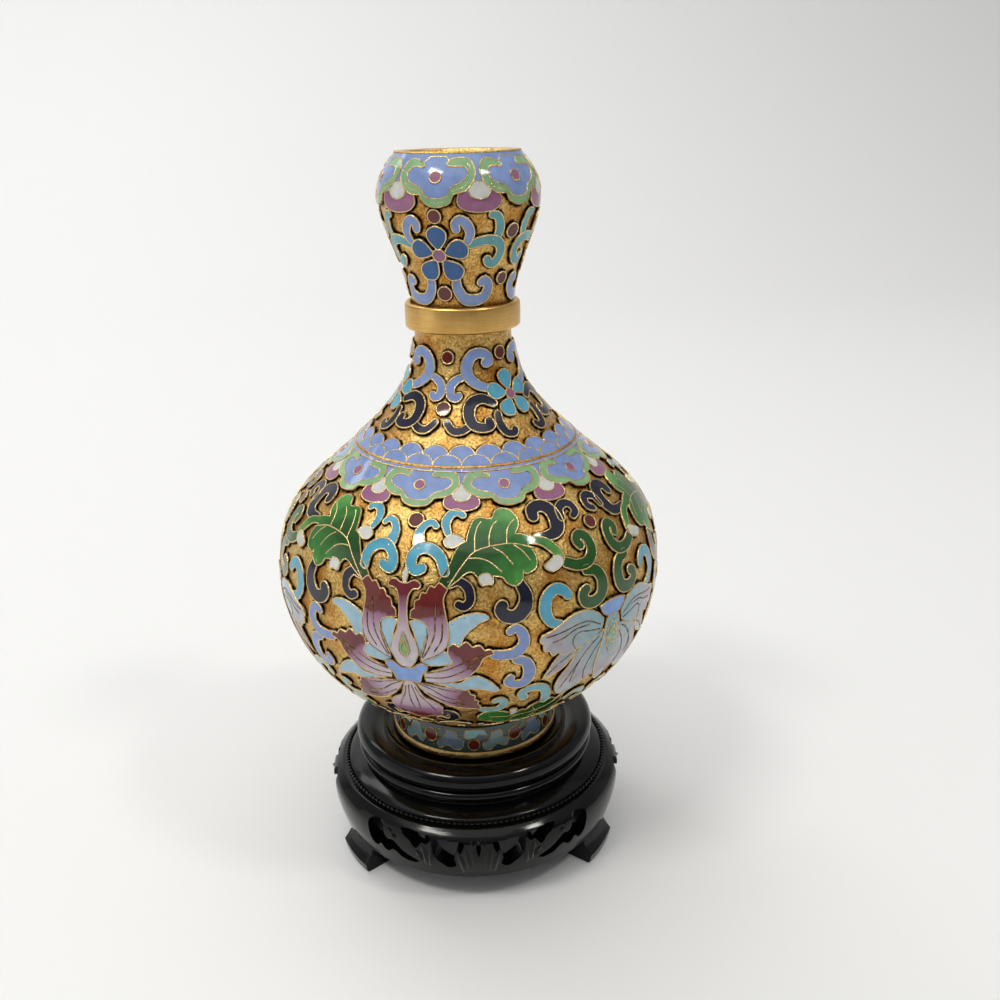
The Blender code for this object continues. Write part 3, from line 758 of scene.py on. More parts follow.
UPRIGHT_PETALS = (
    ("sky", 0, 0.0, None, (
        (9.4, 32.6, 1), (10.8, 34.9), (12.0, 36.5), (15.1, 37.5), (18.5, 38.0), (21.7, 37.7),
        (22.5, 37.0), (20.0, 36.4), (17.6, 35.3), (15.9, 34.2), (14.7, 32.6, 1))),
    ("sky", 0, 0.0, None, (
        (6.9, 25.6, 1), (10.3, 25.8), (14.2, 25.8), (16.6, 26.9), (19.0, 27.2), (22.1, 26.1),
        (24.3, 24.7), (25.3, 23.7, 1), (23.6, 23.5), (20.5, 24.2), (17.1, 24.5), (15.1, 24.2),
        (12.3, 24.8))),
    ("lotus", 1, 0.9, ((2.0, 25.8), (20.5, 21.0)), (
        (1.4, 25.8, 1), (4.5, 25.4), (6.9, 25.3), (9.4, 24.8), (11.5, 25.0), (13.2, 24.6), (15.1, 24.3),
        (16.5, 24.1), (17.0, 23.2, 1), (18.3, 22.8), (18.1, 21.7, 1), (19.3, 21.3), (18.9, 20.2, 1),
        (19.9, 19.8), (19.5, 18.9, 1), (16.6, 19.2), (13.2, 19.6), (9.8, 20.4), (6.5, 21.8),
        (3.6, 23.6))),
    ("lotus", 2, 0.9, ((6.0, 26.2), (19.0, 33.2)), (
        (4.5, 27.6, 1), (9.4, 28.7), (12.5, 29.9), (11.5, 31.5), (11.7, 32.7, 1), (13.1, 33.2),
        (14.4, 32.7, 1), (16.4, 33.5), (18.0, 32.6, 1), (20.0, 32.8), (21.2, 31.9, 1), (22.8, 32.0),
        (23.6, 31.2, 1), (20.9, 30.6), (19.5, 29.0), (16.6, 27.2), (13.2, 26.2), (9.4, 25.8),
        (5.0, 26.0, 1))),
    ("sky", 1, 0.0, None, (
        (4.5, 29.2, 1), (9.4, 29.3), (13.2, 29.9), (13.0, 31.1), (11.3, 31.7), (9.4, 31.7), (6.9, 30.6),
        (4.5, 30.3, 1))),
    ("lotus", 3, 0.9, ((6.0, 30.2), (3.2, 41.2)), (
        (4.1, 30.0, 1), (4.3, 31.1), (5.7, 33.4), (6.6, 35.3), (5.7, 36.5), (3.6, 36.9), (1.9, 37.0, 1),
        (2.1, 38.2), (3.0, 38.6, 1), (3.2, 39.7), (4.3, 40.0, 1), (4.9, 41.0), (6.1, 40.9, 1),
        (7.1, 42.0), (8.3, 41.8, 1), (9.6, 42.5), (11.9, 41.6, 1), (10.8, 40.1), (11.3, 38.0),
        (11.9, 35.7), (11.7, 33.4), (10.1, 31.8), (6.9, 30.7))),
    ("sky", 1, 0.0, None, (
        (1.5, 36.5, 1), (3.6, 36.8), (6.2, 36.7), (7.2, 35.3), (6.0, 33.0), (4.3, 30.9, 1), (3.3, 31.5),
        (3.1, 33.8), (2.4, 35.3))),
)
UPRIGHT_MIDDLE = (
    ("white", 3, 0.0, None, ((0.0, 44.5), (0.7, 44.0), (0.8, 43.2), (0.4, 42.4), (0.0, 42.3))),
    ("pistil", 4, 0.7, ((0.0, 28.5), (0.0, 42.6)), (
        (0.0, 42.2), (1.2, 42.3), (2.4, 42.7), (3.7, 42.6), (4.6, 42.1), (4.1, 41.5), (2.6, 41.4),
        (1.5, 40.5), (1.1, 38.8), (1.3, 36.5), (1.9, 34.9), (3.1, 33.4), (3.8, 31.8), (3.3, 30.5),
        (1.9, 29.1), (0.0, 28.5))),
    ("pale_green", 5, 0.7, None, ((0.0, 34.9, 1), (0.9, 33.4), (1.5, 31.8), (0.9, 30.9), (0.0, 30.6))),
    ("leaf_light", 6, 0.7, None, ((0.0, 33.7, 1), (0.5, 32.6), (0.8, 31.8), (0.0, 31.2))),
    ("calyx_blue", 5, 0.7, None, (
        (0.0, 28.7), (1.6, 28.6), (3.1, 29.3), (4.5, 29.6), (6.0, 29.2, 1), (5.5, 28.2), (4.3, 27.6),
        (3.8, 26.7), (3.1, 25.8), (0.0, 25.9))),
    ("lotus", 3, 0.7, ((0.0, 25.8), (0.0, 11.6)), (
        (0.0, 25.8), (1.4, 25.5), (2.4, 23.8), (3.6, 22.2), (6.0, 21.3), (8.0, 19.9), (8.2, 18.8),
        (7.5, 17.2), (6.0, 16.2), (4.1, 16.3), (2.1, 15.5), (0.0, 15.1))),
)
UPRIGHT_VEINS = (
    (3, ((6.5, 35.9), (6.4, 34.2), (5.5, 32.2), (4.5, 30.6))),
    (3, ((8.8, 39.6), (8.6, 37.2), (8.2, 34.5), (6.5, 32.2), (4.8, 30.5))),
    (3, ((10.1, 38.4), (10.4, 36.0), (10.0, 33.8), (8.0, 31.8))),
    (2, ((5.5, 27.7), (10.8, 28.5), (15.1, 29.7), (20.5, 31.1))),
    (2, ((5.0, 26.8), (10.3, 27.0), (15.1, 28.2), (18.5, 29.7), (21.7, 31.1))),
    (1, ((2.1, 25.5), (6.0, 24.2), (9.4, 22.6), (12.7, 21.7), (15.1, 21.5))),
    (1, ((2.8, 25.5), (6.9, 24.8), (10.3, 24.2), (13.2, 23.8))),
    (1, ((4.6, 23.3), (8.0, 21.9), (11.6, 20.8), (15.6, 20.4))),
    (3, ((0.4, 24.9), (0.9, 22.8), (1.1, 20.6), (0.9, 18.4))),
    (3, ((1.3, 24.6), (2.3, 22.6), (4.2, 20.6), (5.9, 18.4))),
)
INVERTED_PETALS = (
    ("pale_lotus", 0, 0.8, ((58.0, 33.0), (44.0, 22.0)), (
        (37.7, 24.6, 1), (39.3, 26.5), (41.2, 28.4), (43.6, 29.5), (47.5, 29.2, 1), (46.0, 27.6),
        (44.1, 26.3), (41.2, 25.4))),
    ("pale_lotus", 2, 0.8, ((56.0, 34.0), (37.0, 30.5)), (
        (36.6, 33.1), (38.3, 33.4), (41.2, 34.1), (43.6, 34.9), (47.0, 35.6), (50.8, 35.5), (53.7, 34.7),
        (56.4, 33.2, 1), (55.7, 31.3), (52.3, 30.1), (48.9, 29.5), (45.5, 29.1), (43.0, 29.0),
        (41.4, 29.6, 1), (39.9, 29.2), (38.9, 30.2, 1), (37.3, 30.4), (37.0, 31.6, 1), (36.0, 32.2))),
    ("pale_lotus", 1, 0.8, ((58.0, 33.0), (44.0, 22.0)), (
        (57.1, 31.1, 1), (52.8, 30.2), (49.9, 29.6), (47.5, 28.6), (46.0, 26.5), (44.1, 24.9),
        (42.9, 23.4), (42.7, 21.7), (44.1, 20.1), (46.0, 19.4), (48.9, 19.9), (51.8, 20.7), (53.2, 21.7),
        (55.7, 21.9), (58.6, 22.2, 1))),
)
INVERTED_MIDDLE = (
    ("calyx_blue", 4, 0.7, None, (
        (60.0, 35.8), (57.1, 35.7), (54.9, 35.3, 1), (55.9, 34.1), (57.8, 33.3), (60.0, 33.2))),
    ("pale_lotus", 3, 0.7, ((60.0, 33.0), (60.0, 20.0)), (
        (60.0, 33.4), (57.6, 32.8), (56.9, 30.3), (55.9, 27.2), (55.7, 24.5), (56.9, 22.2), (58.3, 20.5),
        (60.0, 19.9, 1))),
    ("dull_turquoise", 4, 0.7, None, (
        (60.0, 32.2), (58.6, 31.5), (58.1, 29.7), (58.9, 27.6), (60.0, 26.3, 1))),
    ("pale_green", 5, 0.7, None, (
        (60.0, 31.3), (59.3, 30.9), (58.9, 29.6), (59.5, 28.4), (60.0, 27.8, 1))),
)
INVERTED_VEINS = (
    (2, ((37.8, 32.7), (42.2, 33.0), (47.0, 33.6), (50.8, 33.6), (55.2, 32.3))),
    (2, ((47.0, 29.4), (46.0, 30.5), (46.3, 31.7), (48.4, 32.2), (51.8, 31.8), (55.2, 31.5))),
    (0, ((38.8, 25.3), (42.2, 27.2), (46.0, 28.6))),
    (1, ((55.2, 30.2), (50.8, 28.0), (48.4, 25.3), (47.7, 22.2))),
    (1, ((56.4, 29.5), (53.7, 27.2), (52.0, 24.2), (53.0, 21.8))),
    (1, ((53.4, 29.6), (49.4, 26.8), (46.2, 23.4), (44.6, 21.2))),
    (2, ((39.6, 31.6), (43.0, 32.0), (46.6, 32.9), (51.2, 33.0))),
)

LEAF_RIB = ((12.0, 42.0), (15.1, 44.5), (18.5, 46.7), (21.9, 47.5), (26.7, 47.9), (31.5, 47.8), (37.1, 46.8))
LOW_LEAF_RIB = ((47.2, 19.0), (43.6, 16.5), (39.3, 15.1), (34.0, 14.5), (28.2, 14.7), (22.9, 15.3))
LEAF = (
    (11.7, 41.7, 1), (9.4, 42.7), (12.0, 44.9), (13.2, 46.5), (14.9, 48.1), (17.1, 48.7, 1), (17.7, 50.1),
    (19.5, 52.0), (21.9, 52.5), (24.3, 52.2), (26.0, 52.3, 1), (27.4, 53.5), (29.9, 53.8), (32.7, 53.3),
    (34.4, 51.8), (34.1, 50.5), (32.3, 49.3, 1), (34.9, 49.1), (37.8, 48.5), (41.7, 47.9), (44.3, 46.5),
    (45.8, 44.5), (44.1, 43.7), (42.4, 45.3), (39.3, 47.0), (35.4, 47.5, 1), (36.6, 46.5), (37.2, 45.1),
    (36.4, 43.7), (33.5, 43.1), (32.7, 43.7, 1), (32.3, 42.4), (30.1, 41.5), (27.7, 42.2), (26.7, 43.0),
    (24.3, 43.3, 1), (23.1, 42.2), (21.2, 42.2), (20.0, 43.2, 1), (18.5, 44.0), (16.6, 43.8),
    (14.7, 42.9))
LOW_LEAF = (
    (47.5, 19.5, 1), (45.5, 18.0), (43.1, 18.8), (40.7, 17.8), (39.3, 18.4), (36.8, 17.7),
    (35.4, 16.3, 1), (33.5, 16.7), (31.5, 15.7), (29.6, 16.3, 1), (26.7, 17.2), (23.8, 17.7),
    (20.9, 17.2), (19.0, 15.3), (20.9, 13.4), (24.3, 13.0, 1), (26.2, 11.5), (29.6, 10.9),
    (32.0, 11.8, 1), (34.9, 10.7), (38.3, 11.1), (40.2, 12.6, 1), (43.1, 12.2), (46.0, 13.8),
    (47.5, 16.5))
BUDS = (
    (1, (
        (10.1, 48.8), (11.8, 49.7), (13.9, 49.8), (15.9, 49.2), (16.7, 48.6, 1), (15.1, 48.3),
        (13.2, 47.7), (11.0, 47.9))),
    (2, (
        (20.1, 43.1), (21.2, 43.7), (23.1, 43.7), (24.2, 42.8), (23.7, 42.0), (22.6, 42.2), (21.4, 42.0),
        (20.5, 42.3))),
    (2, (
        (39.0, 43.8), (41.2, 44.5), (43.1, 45.1), (44.8, 44.7), (45.0, 43.7), (43.6, 43.1), (41.2, 42.7),
        (39.8, 43.1))),
    (2, ((29.9, 17.5), (31.5, 17.6), (32.1, 16.7), (31.5, 15.5), (30.3, 15.4), (29.7, 16.5))),
)
LEAF_VEINS = (
    LEAF_RIB,
    ((19.5, 47.0), (19.7, 49.2), (20.7, 50.9), (22.1, 51.8)),
    ((23.8, 47.7), (24.3, 49.5), (25.5, 50.9), (27.3, 51.7)),
    ((29.2, 47.9), (29.9, 49.7), (31.3, 50.9), (33.5, 51.7)),
    ((17.6, 46.1), (20.9, 46.0), (23.8, 45.3), (26.7, 43.8)),
    ((25.0, 47.5), (27.7, 46.5), (30.1, 44.7)),
    ((31.1, 47.7), (33.5, 46.5), (35.2, 45.0)),
    LOW_LEAF_RIB,
    ((39.3, 15.2), (37.8, 16.5), (37.8, 17.2)),
    ((33.5, 14.5), (31.5, 13.4), (30.1, 11.8)),
    ((40.7, 15.4), (40.2, 14.2), (38.3, 12.2)),
)


def draw_cells(band, cells, places, axis=None):
    """Cells from a table. An axis in degrees completes each with its mirror image."""
    for colour, level, stain, shading, points in cells:
        outline = points if axis is None else mirrored(points, axis)
        band.drawn_cell(colour, level, outline, places, along(*shading) if shading else None, stain)


def upright_lotus(band):
    """The lotus seen from the side: pairs of shaded petals over pale ones, and its pistil."""
    draw_cells(band, UPRIGHT_PETALS, BOTH)
    draw_cells(band, UPRIGHT_MIDDLE, (RIGHT,), 0.0)
    for level, points in UPRIGHT_VEINS:
        band.vein(level, points, BOTH, stained=True)


def inverted_lotus(band):
    """The pale lotus that hangs between two leaves, its middle half a repeat from the upright one."""
    draw_cells(band, INVERTED_PETALS, BOTH)
    draw_cells(band, INVERTED_MIDDLE, (RIGHT,), HALF_REPEAT)
    for level, points in INVERTED_VEINS:
        band.vein(level, points, BOTH, stained=True)


def leaves(band):
    """A lobed leaf that rises from each lotus, one under it, and the white buds at their edges."""
    band.drawn_cell("leaf", 1, LEAF, BOTH, leaf_shade(LEAF_RIB, 7.0))
    band.drawn_cell("leaf", 1, LOW_LEAF, BOTH, leaf_shade(LOW_LEAF_RIB, 6.0))
    for level, points in BUDS:
        band.drawn_cell("white", level, points, BOTH)
    for points in LEAF_VEINS:
        band.vein(1, points, BOTH)


def make_body_enamel():
    scrolls, lotuses, foliage = (
        Band(name, WALL_OUTSIDE, BODY_REPEATS) for name in ("scroll", "lotus", "leaf"))
    for colour, level, widths, spine in BODY_SCROLLS:
        scrolls.scroll(colour, level, widths, spine, BOTH)
    dots(scrolls, BODY_DOTS, (RIGHT,))
    upright_lotus(lotuses)
    inverted_lotus(lotuses)
    leaves(foliage)
    for band in (scrolls, lotuses, foliage):
        band.make()


# Neck and bulb: the same scrolls between two axes 60 degrees apart, with a small flower on one

NECK_AZIMUTH = -17.5
NECK_RIGHT = (NECK_AZIMUTH, 1, 0.0)
NECK_LEFT = (NECK_AZIMUTH, -1, 0.0)
PETALS = 5
PETAL = (
    (0.0, 0.75, 1), (0.7, 1.5), (1.35, 2.6), (1.25, 3.7), (0.0, 4.35), (-1.25, 3.7), (-1.35, 2.6),
    (-0.7, 1.5))


def small_flower(band, colour, azimuth, s, size, level):
    """Round petals about a mauve middle, one of them pointing up."""
    for k in range(PETALS):
        c, d = cos(2 * pi * k / PETALS), sin(2 * pi * k / PETALS)
        points = [(x * c - y * d, x * d + y * c, *rest) for x, y, *rest in PETAL]
        outline = local_outline(band.surface, azimuth, s, points, (size, size))
        band.drawn_cell(colour, level, outline, (NECK_RIGHT,))
    band.cell("mauve", level + 1, round_outline(band.surface, azimuth, s, 0.95 * size), (NECK_RIGHT,))


NECK_SCROLLS = (
    ("lavender", 1, (1.3, 1.8, 1.4),
     ((39.3, 74.4), (29.6, 75.1), (21.4, 76.5), (20.0, 78.1), (25.8, 79.6), (34.4, 80.0), (43.1, 79.4),
      (44.1, 78.4), (40.2, 78.4))),
    ("lavender", 0, (1.0, 1.4, 1.2),
     ((17.3, 76.4), (10.3, 76.0), (4.7, 75.0), (5.0, 73.5), (9.4, 73.0), (11.8, 73.4))),
    ("navy", 1, (1.4, 1.9, 1.4),
     ((40.7, 72.0), (31.5, 72.8), (22.9, 72.2), (20.0, 70.5), (22.4, 68.6), (28.6, 67.9), (34.4, 68.2),
      (34.0, 69.0))),
    ("navy", 0, (1.2, 1.4, 1.1), ((20.0, 68.4), (15.1, 67.6), (9.8, 67.5), (5.5, 68.5), (4.3, 69.0))),
    ("navy", 0, (1.2, 1.5, 1.2), ((42.0, 70.0), (41.4, 68.5), (43.6, 66.8), (48.4, 66.4), (50.4, 67.0))),
)
BULB_SCROLLS = (
    ("lavender", 2, (1.2, 1.5, 1.2),
     ((23.1, 98.0), (24.8, 99.3), (22.0, 100.7), (17.5, 101.3), (14.2, 100.7), (14.8, 99.9))),
    ("lavender", 0, (1.3, 1.8, 1.3),
     ((12.5, 91.8), (13.6, 90.2), (20.3, 88.6), (31.4, 88.3), (41.4, 88.9), (44.8, 90.5), (40.3, 91.5),
      (37.0, 91.1))),
    ("teal", 1, (1.3, 1.6, 1.3),
     ((25.0, 97.4), (38.1, 98.0), (48.1, 97.5), (52.0, 95.9), (48.1, 94.3), (42.3, 94.2), (40.3, 94.8))),
    ("teal", 0, (1.2, 1.5, 1.1), ((45.8, 98.0), (47.6, 99.8), (44.8, 101.6), (40.3, 101.9))),
)


# degrees from the axis, mm up the wall, radius
NECK_DOTS = (
    (0.0, 79.4, 1.0), (0.0, 71.3, 1.15), (60.0, 79.7, 1.05), (0.0, 101.8, 1.05), (0.0, 89.4, 1.15),
    (60.0, 99.2, 1.15), (60.0, 91.5, 1.0))
BODY_DOTS = ((0.0, 52.0, 1.2), (60.0, 48.5, 1.1), (0.0, 12.4, 1.1), (60.0, 13.2, 1.0))


def dots(band, given, places):
    for azimuth, s, radius in given:
        band.cell("brown", 0, round_outline(band.surface, azimuth, s, radius), places)


def make_neck_enamel():
    band = Band("neck", WALL_OUTSIDE, BODY_REPEATS)
    for colour, level, widths, spine in NECK_SCROLLS + BULB_SCROLLS:
        band.scroll(colour, level, widths, spine, (NECK_RIGHT, NECK_LEFT))
    small_flower(band, "turquoise", HALF_REPEAT, 72.9, 0.95, 2)
    small_flower(band, "deep_blue", 0.0, 95.7, 1.08, 3)
    dots(band, NECK_DOTS, (NECK_RIGHT,))
    band.make()


# Collars of ruyi lappets round the shoulder and the mouth: points in mm from the dot at a lappet's middle

LAPPET_OUTER = (
    (-1.9, 1.8), (-3.75, 2.7), (-5.1, 2.2), (-6.15, 0.6), (-5.9, -0.9), (-4.3, -2.1), (-2.5, -2.2, 1),
    (-1.8, -3.2), (-0.1, -3.8), (2.1, -3.4), (2.9, -2.2, 1), (4.9, -1.7), (6.0, -0.3), (6.0, 0.9),
    (5.1, 2.3), (3.75, 2.8), (2.1, 2.6), (1.5, 1.8))
LAPPET_INNER = (
    (2.3, 1.5), (3.2, 1.5), (4.3, 1.4), (4.95, 0.5), (4.2, -0.6), (2.6, -1.3), (1.8, -2.4), (0.1, -2.7),
    (-1.5, -2.4), (-2.3, -1.4), (-4.2, -0.7), (-4.95, 0.15), (-4.3, 1.3), (-3.0, 1.5), (-2.3, 1.3))
LAPPET_FIELD = (
    (-1.2, 3.0, 1), (-2.1, 2.2), (-3.0, 1.7), (-4.6, 1.8), (-5.4, 0.3), (-4.6, -1.3), (-2.6, -1.9),
    (-1.7, -2.9), (0.1, -3.2), (1.9, -2.9), (2.8, -1.8), (4.6, -1.2), (5.4, 0.6), (4.6, 1.9), (3.2, 1.7),
    (2.1, 2.3), (1.2, 3.0, 1))


def lappet(band, s, azimuth, size):
    """A ruyi head: a lavender field with a mauve dot, in a sage border that is open towards the strip."""
    here = ((azimuth, 1, 0.0),)
    field, border = (
        local_outline(band.surface, 0.0, s, points, size)
        for points in (LAPPET_FIELD, LAPPET_OUTER + LAPPET_INNER))
    band.drawn_cell("lavender", 1, field, here)
    band.drawn_cell("sage", 2, border, here, stained=0.5)
    band.cell("mauve", 3, round_outline(band.surface, 0.0, s, 0.87), here, stained=0.4)


def under_lappet(band, azimuth, half_width, low, middle, high, white_width):
    """A mauve lappet that shows between two heads, with a white crescent over it."""
    here = ((azimuth, 1, 0.0),)
    scale = band.surface.per_degree(low)
    wide, thin = half_width / scale, white_width / scale
    flank, horn = low + 0.25 * (middle - low), middle + 0.5
    band.drawn_cell("mauve", 0, (
        (-wide, middle), (-0.75 * wide, flank), (0.0, low), (0.75 * wide, flank), (wide, middle),
        (0.6 * wide, high), (-0.6 * wide, high)), here)
    band.drawn_cell("white", 1, (
        (-thin, high), (-0.8 * thin, horn), (0.0, middle), (0.8 * thin, horn), (thin, high),
        (0.0, high + 0.3 * (high - middle))), here)


# how many go round, then places in degrees and in mm up the wall
COLLAR_LAPPETS = 10
MOUTH_LAPPETS = 6
SCALES = 25
STRIP_LOW, STRIP_HIGH = 60.9, 61.55
SCALE_AZIMUTH = -2.6
SCALE_ROWS = ((63.2, 0.0, 1), (61.5, 0.5, 3))
SCALE_RISE = 1.85


def make_collars():
    shoulder = Band("shoulder", WALL_OUTSIDE, COLLAR_LAPPETS)
    lappet(shoulder, 58.0, -20.5, (1.0, 1.0))
    under_lappet(shoulder, -2.5, 2.9, 53.7, 55.4, 57.6, 1.6)
    shoulder.make()
    mouth = Band("mouth", WALL_OUTSIDE, MOUTH_LAPPETS)
    lappet(mouth, 107.4, -16.0, (0.95, 1.12))
    under_lappet(mouth, 14.0, 3.4, 102.3, 104.2, 106.2, 1.7)
    mouth.make()
    edge = WALL_OUTSIDE.length
    # where each band begins and ends, how far it stands off the wall, and its crown
    for name, low, high, lift, crown, material in (
            ("shoulder_field", 57.2, STRIP_LOW + 0.2, 0.0, 0.0, GLAZES["lavender"]),
            ("mouth_field", 105.2, edge - 0.25, 0.0, 0.0, GLAZES["lavender"]),
            ("shoulder_strip", STRIP_LOW, STRIP_HIGH, 0.26, 0.18, GILT),
            ("mouth_strip", edge - 0.32, edge - 0.02, 0.08, 0.06, GILT)):
        turned_band(name, WALL_OUTSIDE, low, high, lift, crown, material)


def make_scale_band():
    """Two rows of half-round lavender scales above the strip, the lower row in front."""
    band = Band("scales", WALL_OUTSIDE, SCALES)
    half = 180.0 / SCALES
    for centre, shift, level in SCALE_ROWS:
        top = [(half * cos(a), centre + SCALE_RISE * sin(a)) for a in np.linspace(0.0, pi, 13)]
        low = centre - 1.0
        outline = [(*top[0], 1), *top[1:-1], (*top[-1], 1), (-half, low, 1), (half, low, 1)]
        place = (SCALE_AZIMUTH + shift * 2 * half, 1, 0.0)
        band.drawn_cell("lavender", level, outline, (place,), stained=0.35)
    band.make()


# Turned pieces

def turned_mesh(name, profile, segments):
    """Turn a closed loop of (radius, height) in mm about the axis. Points on the axis become poles."""
    profile = np.array(profile, float)
    mesh = bpy.data.meshes.new(name)
    turns = np.arange(segments) * 2 * pi / segments
    points, rings = [], []
    for r, z in profile:
        if r < 1e-6:
            rings.append([len(points)] * segments)
            points.append((0.0, 0.0, z * MM))
        else:
            rings.append(list(range(len(points), len(points) + segments)))
            points += [(r * sin(a) * MM, -r * cos(a) * MM, z * MM) for a in turns]
    faces = []
    closed = profile[0][0] > 1e-6
    pairs = list(zip(rings, rings[1:])) + ([(rings[-1], rings[0])] if closed else [])
    for low, high in pairs:
        for i in range(segments):
            j = (i + 1) % segments
            corners = (low[i], low[j], high[j], high[i])
            face = [c for k, c in enumerate(corners) if c != corners[k - 1]]
            if len(face) > 2:
                faces.append(face)
    mesh.from_pydata(points, [], faces)
    editing = bmesh.new()
    editing.from_mesh(mesh)
    if editing.calc_volume(signed=True) < 0:
        bmesh.ops.reverse_faces(editing, faces=editing.faces)
    editing.to_mesh(mesh)
    editing.free()
    return mesh


def turned_piece(name, profile, segments, material):
    thing = add_object(name, turned_mesh(name, profile, segments))
    thing.data.materials.append(material)
    return finish_piece(thing)


def turned_band(name, surface, low, high, lift, crown, material):
    """A band round a wall between two lengths, its face lifted off the wall and crowned."""
    count = max(4, ceil((high - low) / 0.7))
    lengths = np.linspace(low, high, count + 1)
    swell = crown * (1 - (2 * (lengths - low) / (high - low) - 1) ** 2)
    top = [surface.profile(s, lift - crown + c) for s, c in zip(lengths, swell)]
    under = [surface.profile(s, -ROOT_DEPTH) for s in reversed(lengths)]
    return turned_piece(name, top + under, 180, material)


# The vase's gilt body, in mm: its wall and floor, then steps out and up from the mouth's edge, from the
# seam over the foot, and from the foot's outer edge on the stand
FLOOR_START = 1.6
FOOT_WALL = 1.6
FOOT_RIM = 1.2
LIP = ((0.02, -0.12), (-0.12, 0.0), (-0.7, 0.0), (-1.35, -0.12), (-1.6, -0.5))
SEAM_BEAD = ((0.55, 0.1), (0.75, -0.25), (0.55, -0.6), (0.0, -0.75))
FOOT_EDGE = (
    (-RELIEF - 0.1, 1.3), (-0.15, 1.05), (0.0, 0.75), (0.0, 0.15), (-0.15, 0.0), (0.15 - FOOT_WALL, 0.0),
    (-FOOT_WALL, 0.15))
SEAM = VASE_BASE + FOOT_HEIGHT


def moved(steps, r, z):
    return [(r + out, z + up) for out, up in steps]


def make_vase_ground():
    """The gilt copper vase under the enamel: its wall, the inside, the lip and the foot."""
    outside = [WALL_OUTSIDE.profile(s, -RELIEF) for s in np.arange(0.0, WALL_OUTSIDE.length, 0.75)]
    inside = [
        WALL_OUTSIDE.profile(s, -RELIEF - WALL) for s in np.arange(FLOOR_START, WALL_OUTSIDE.length, 1.5)]
    mouth_r, mouth_z = WALL_OUTSIDE.profile(WALL_OUTSIDE.length)
    floor = inside[0][1]
    base = floor - WALL
    profile = [(0.0, floor), *inside, *reversed(moved(LIP, mouth_r, mouth_z)), *reversed(outside),
               *moved(SEAM_BEAD, SEAM_RADIUS - RELIEF, SEAM), *moved(FOOT_EDGE, FOOT_RADIUS, VASE_BASE),
               (FOOT_RADIUS - FOOT_WALL, base), (0.0, base)]
    piece = turned_piece("gilt_vase", profile, 216, GILT)
    # the foot's rim and the lip are polished
    crown = piece.data.attributes.new("crown", "FLOAT", "POINT")
    low, high = (VASE_BASE + FOOT_RIM) * MM, (mouth_z - 0.3) * MM
    crown.data.foreach_set("value", [0.5 * (not low < v.co.z < high) for v in piece.data.vertices])
    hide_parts("vase")


FOOT_REPEATS = 6
FOOT_BLUE_CLOUD = (
    (-25.0, 0.4), (-26.5, 1.9), (-22.0, 2.6), (-20.0, 3.9), (-14.5, 4.0), (-12.0, 2.9), (-8.0, 2.4),
    (-9.0, 0.9), (-14.0, 0.5), (-19.0, 1.2))
FOOT_PALE_CLOUD = (
    (6.0, 0.5), (5.0, 1.7), (9.0, 2.3), (12.5, 3.8), (18.0, 3.9), (19.5, 2.6), (23.5, 1.9), (21.0, 0.6),
    (15.0, 1.3), (10.5, 0.4))
FOOT_HIGH_CLOUD = (
    (-7.0, 2.9), (-6.5, 4.2), (0.5, 4.4), (6.5, 4.2), (8.0, 3.2), (3.0, 3.4), (-2.0, 2.7))


def make_foot_band():
    """The low enamel band round the foot: clouds of dull blue, pale grey and turquoise with brown dots."""
    surface = Surface(((FOOT_RADIUS - 0.25, VASE_BASE + FOOT_RIM), (SEAM_RADIUS + 0.15, SEAM - 0.85)))
    # the ground and the blue and pale clouds are darker glazes: painted shade for the shadow under the body
    turned_band("foot_enamel", surface, 0.0, surface.length, 0.0, 0.0, GLAZES["foot_ground_painted_shade"])
    band = Band("foot", surface, FOOT_REPEATS)
    here = ((0.0, 1, 0.0),)
    for colour, level, points in (
            ("foot_blue", 1, FOOT_BLUE_CLOUD), ("foot_pale", 1, FOOT_PALE_CLOUD),
            ("dull_turquoise", 2, FOOT_HIGH_CLOUD)):
        band.drawn_cell(colour, level, points, here, stained=0.7)
    for azimuth, s, radius in ((-1.0, 1.5, 1.05), (28.0, 2.6, 1.25)):
        band.cell("brown", 2, round_outline(surface, azimuth, s, radius), here, stained=0.7)
    band.vein(0, ((-22.0, 4.4), (-28.5, 3.4), (-31.5, 1.7), (-29.0, 0.5)), here, stained=True)
    band.make()


# The brass ring, in mm: its wall, how its outer edges are rounded and its inner ones bevelled
RING_GAP = 1.25
RING_WALL = 1.05
RING_ROUNDING = 0.55
RING_BEVEL = 0.2


def make_neck_ring():
    """The plain brass ring, rounded over at its edges and a little uneven from the hammer."""
    inside = 0.5 * (RING_HIGH.x - RING_LOW.x) - RING_GAP
    outside = inside + RING_WALL
    low, high = RING_LOW.z, RING_HIGH.z
    middle = outside - RING_ROUNDING
    profile = [(inside, low + RING_BEVEL), (inside, high - RING_BEVEL), (inside + RING_BEVEL, high)]
    profile += arc((middle, high - RING_ROUNDING), RING_ROUNDING, 90, 0, 6)
    profile += [(outside + 0.03, 0.5 * (low + high))]
    profile += arc((middle, low + RING_ROUNDING), RING_ROUNDING, 0, -90, 6)
    profile += [(inside + RING_BEVEL, low)]
    piece = turned_piece("brass_neck_ring", profile, 144, BRASS)
    for vertex in piece.data.vertices:
        turn = np.arctan2(vertex.co.x, -vertex.co.y)
        swell = 1 + 0.004 * sin(9 * turn + 0.7) + 0.003 * sin(5 * turn)
        vertex.co.x *= swell
        vertex.co.y *= swell
    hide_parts("neck_ring")


# Stand: heights above the table, in mm

DRUM_BASE, DRUM_TOP = 5.1, 16.4
LIP_ROUNDING = 1.95
DRUM_RADIUS = 26.7
DRUM_WIDEST = 12.2
SEAT_LEVEL = STAND_TOP - 1.4
STAND_FEET = 3
STEP_BEADS = 156
BEAD_RADIUS, BEAD_RING, BEAD_LEVEL = 0.36, 24.0, 15.2
BEAD_SIDES = 8


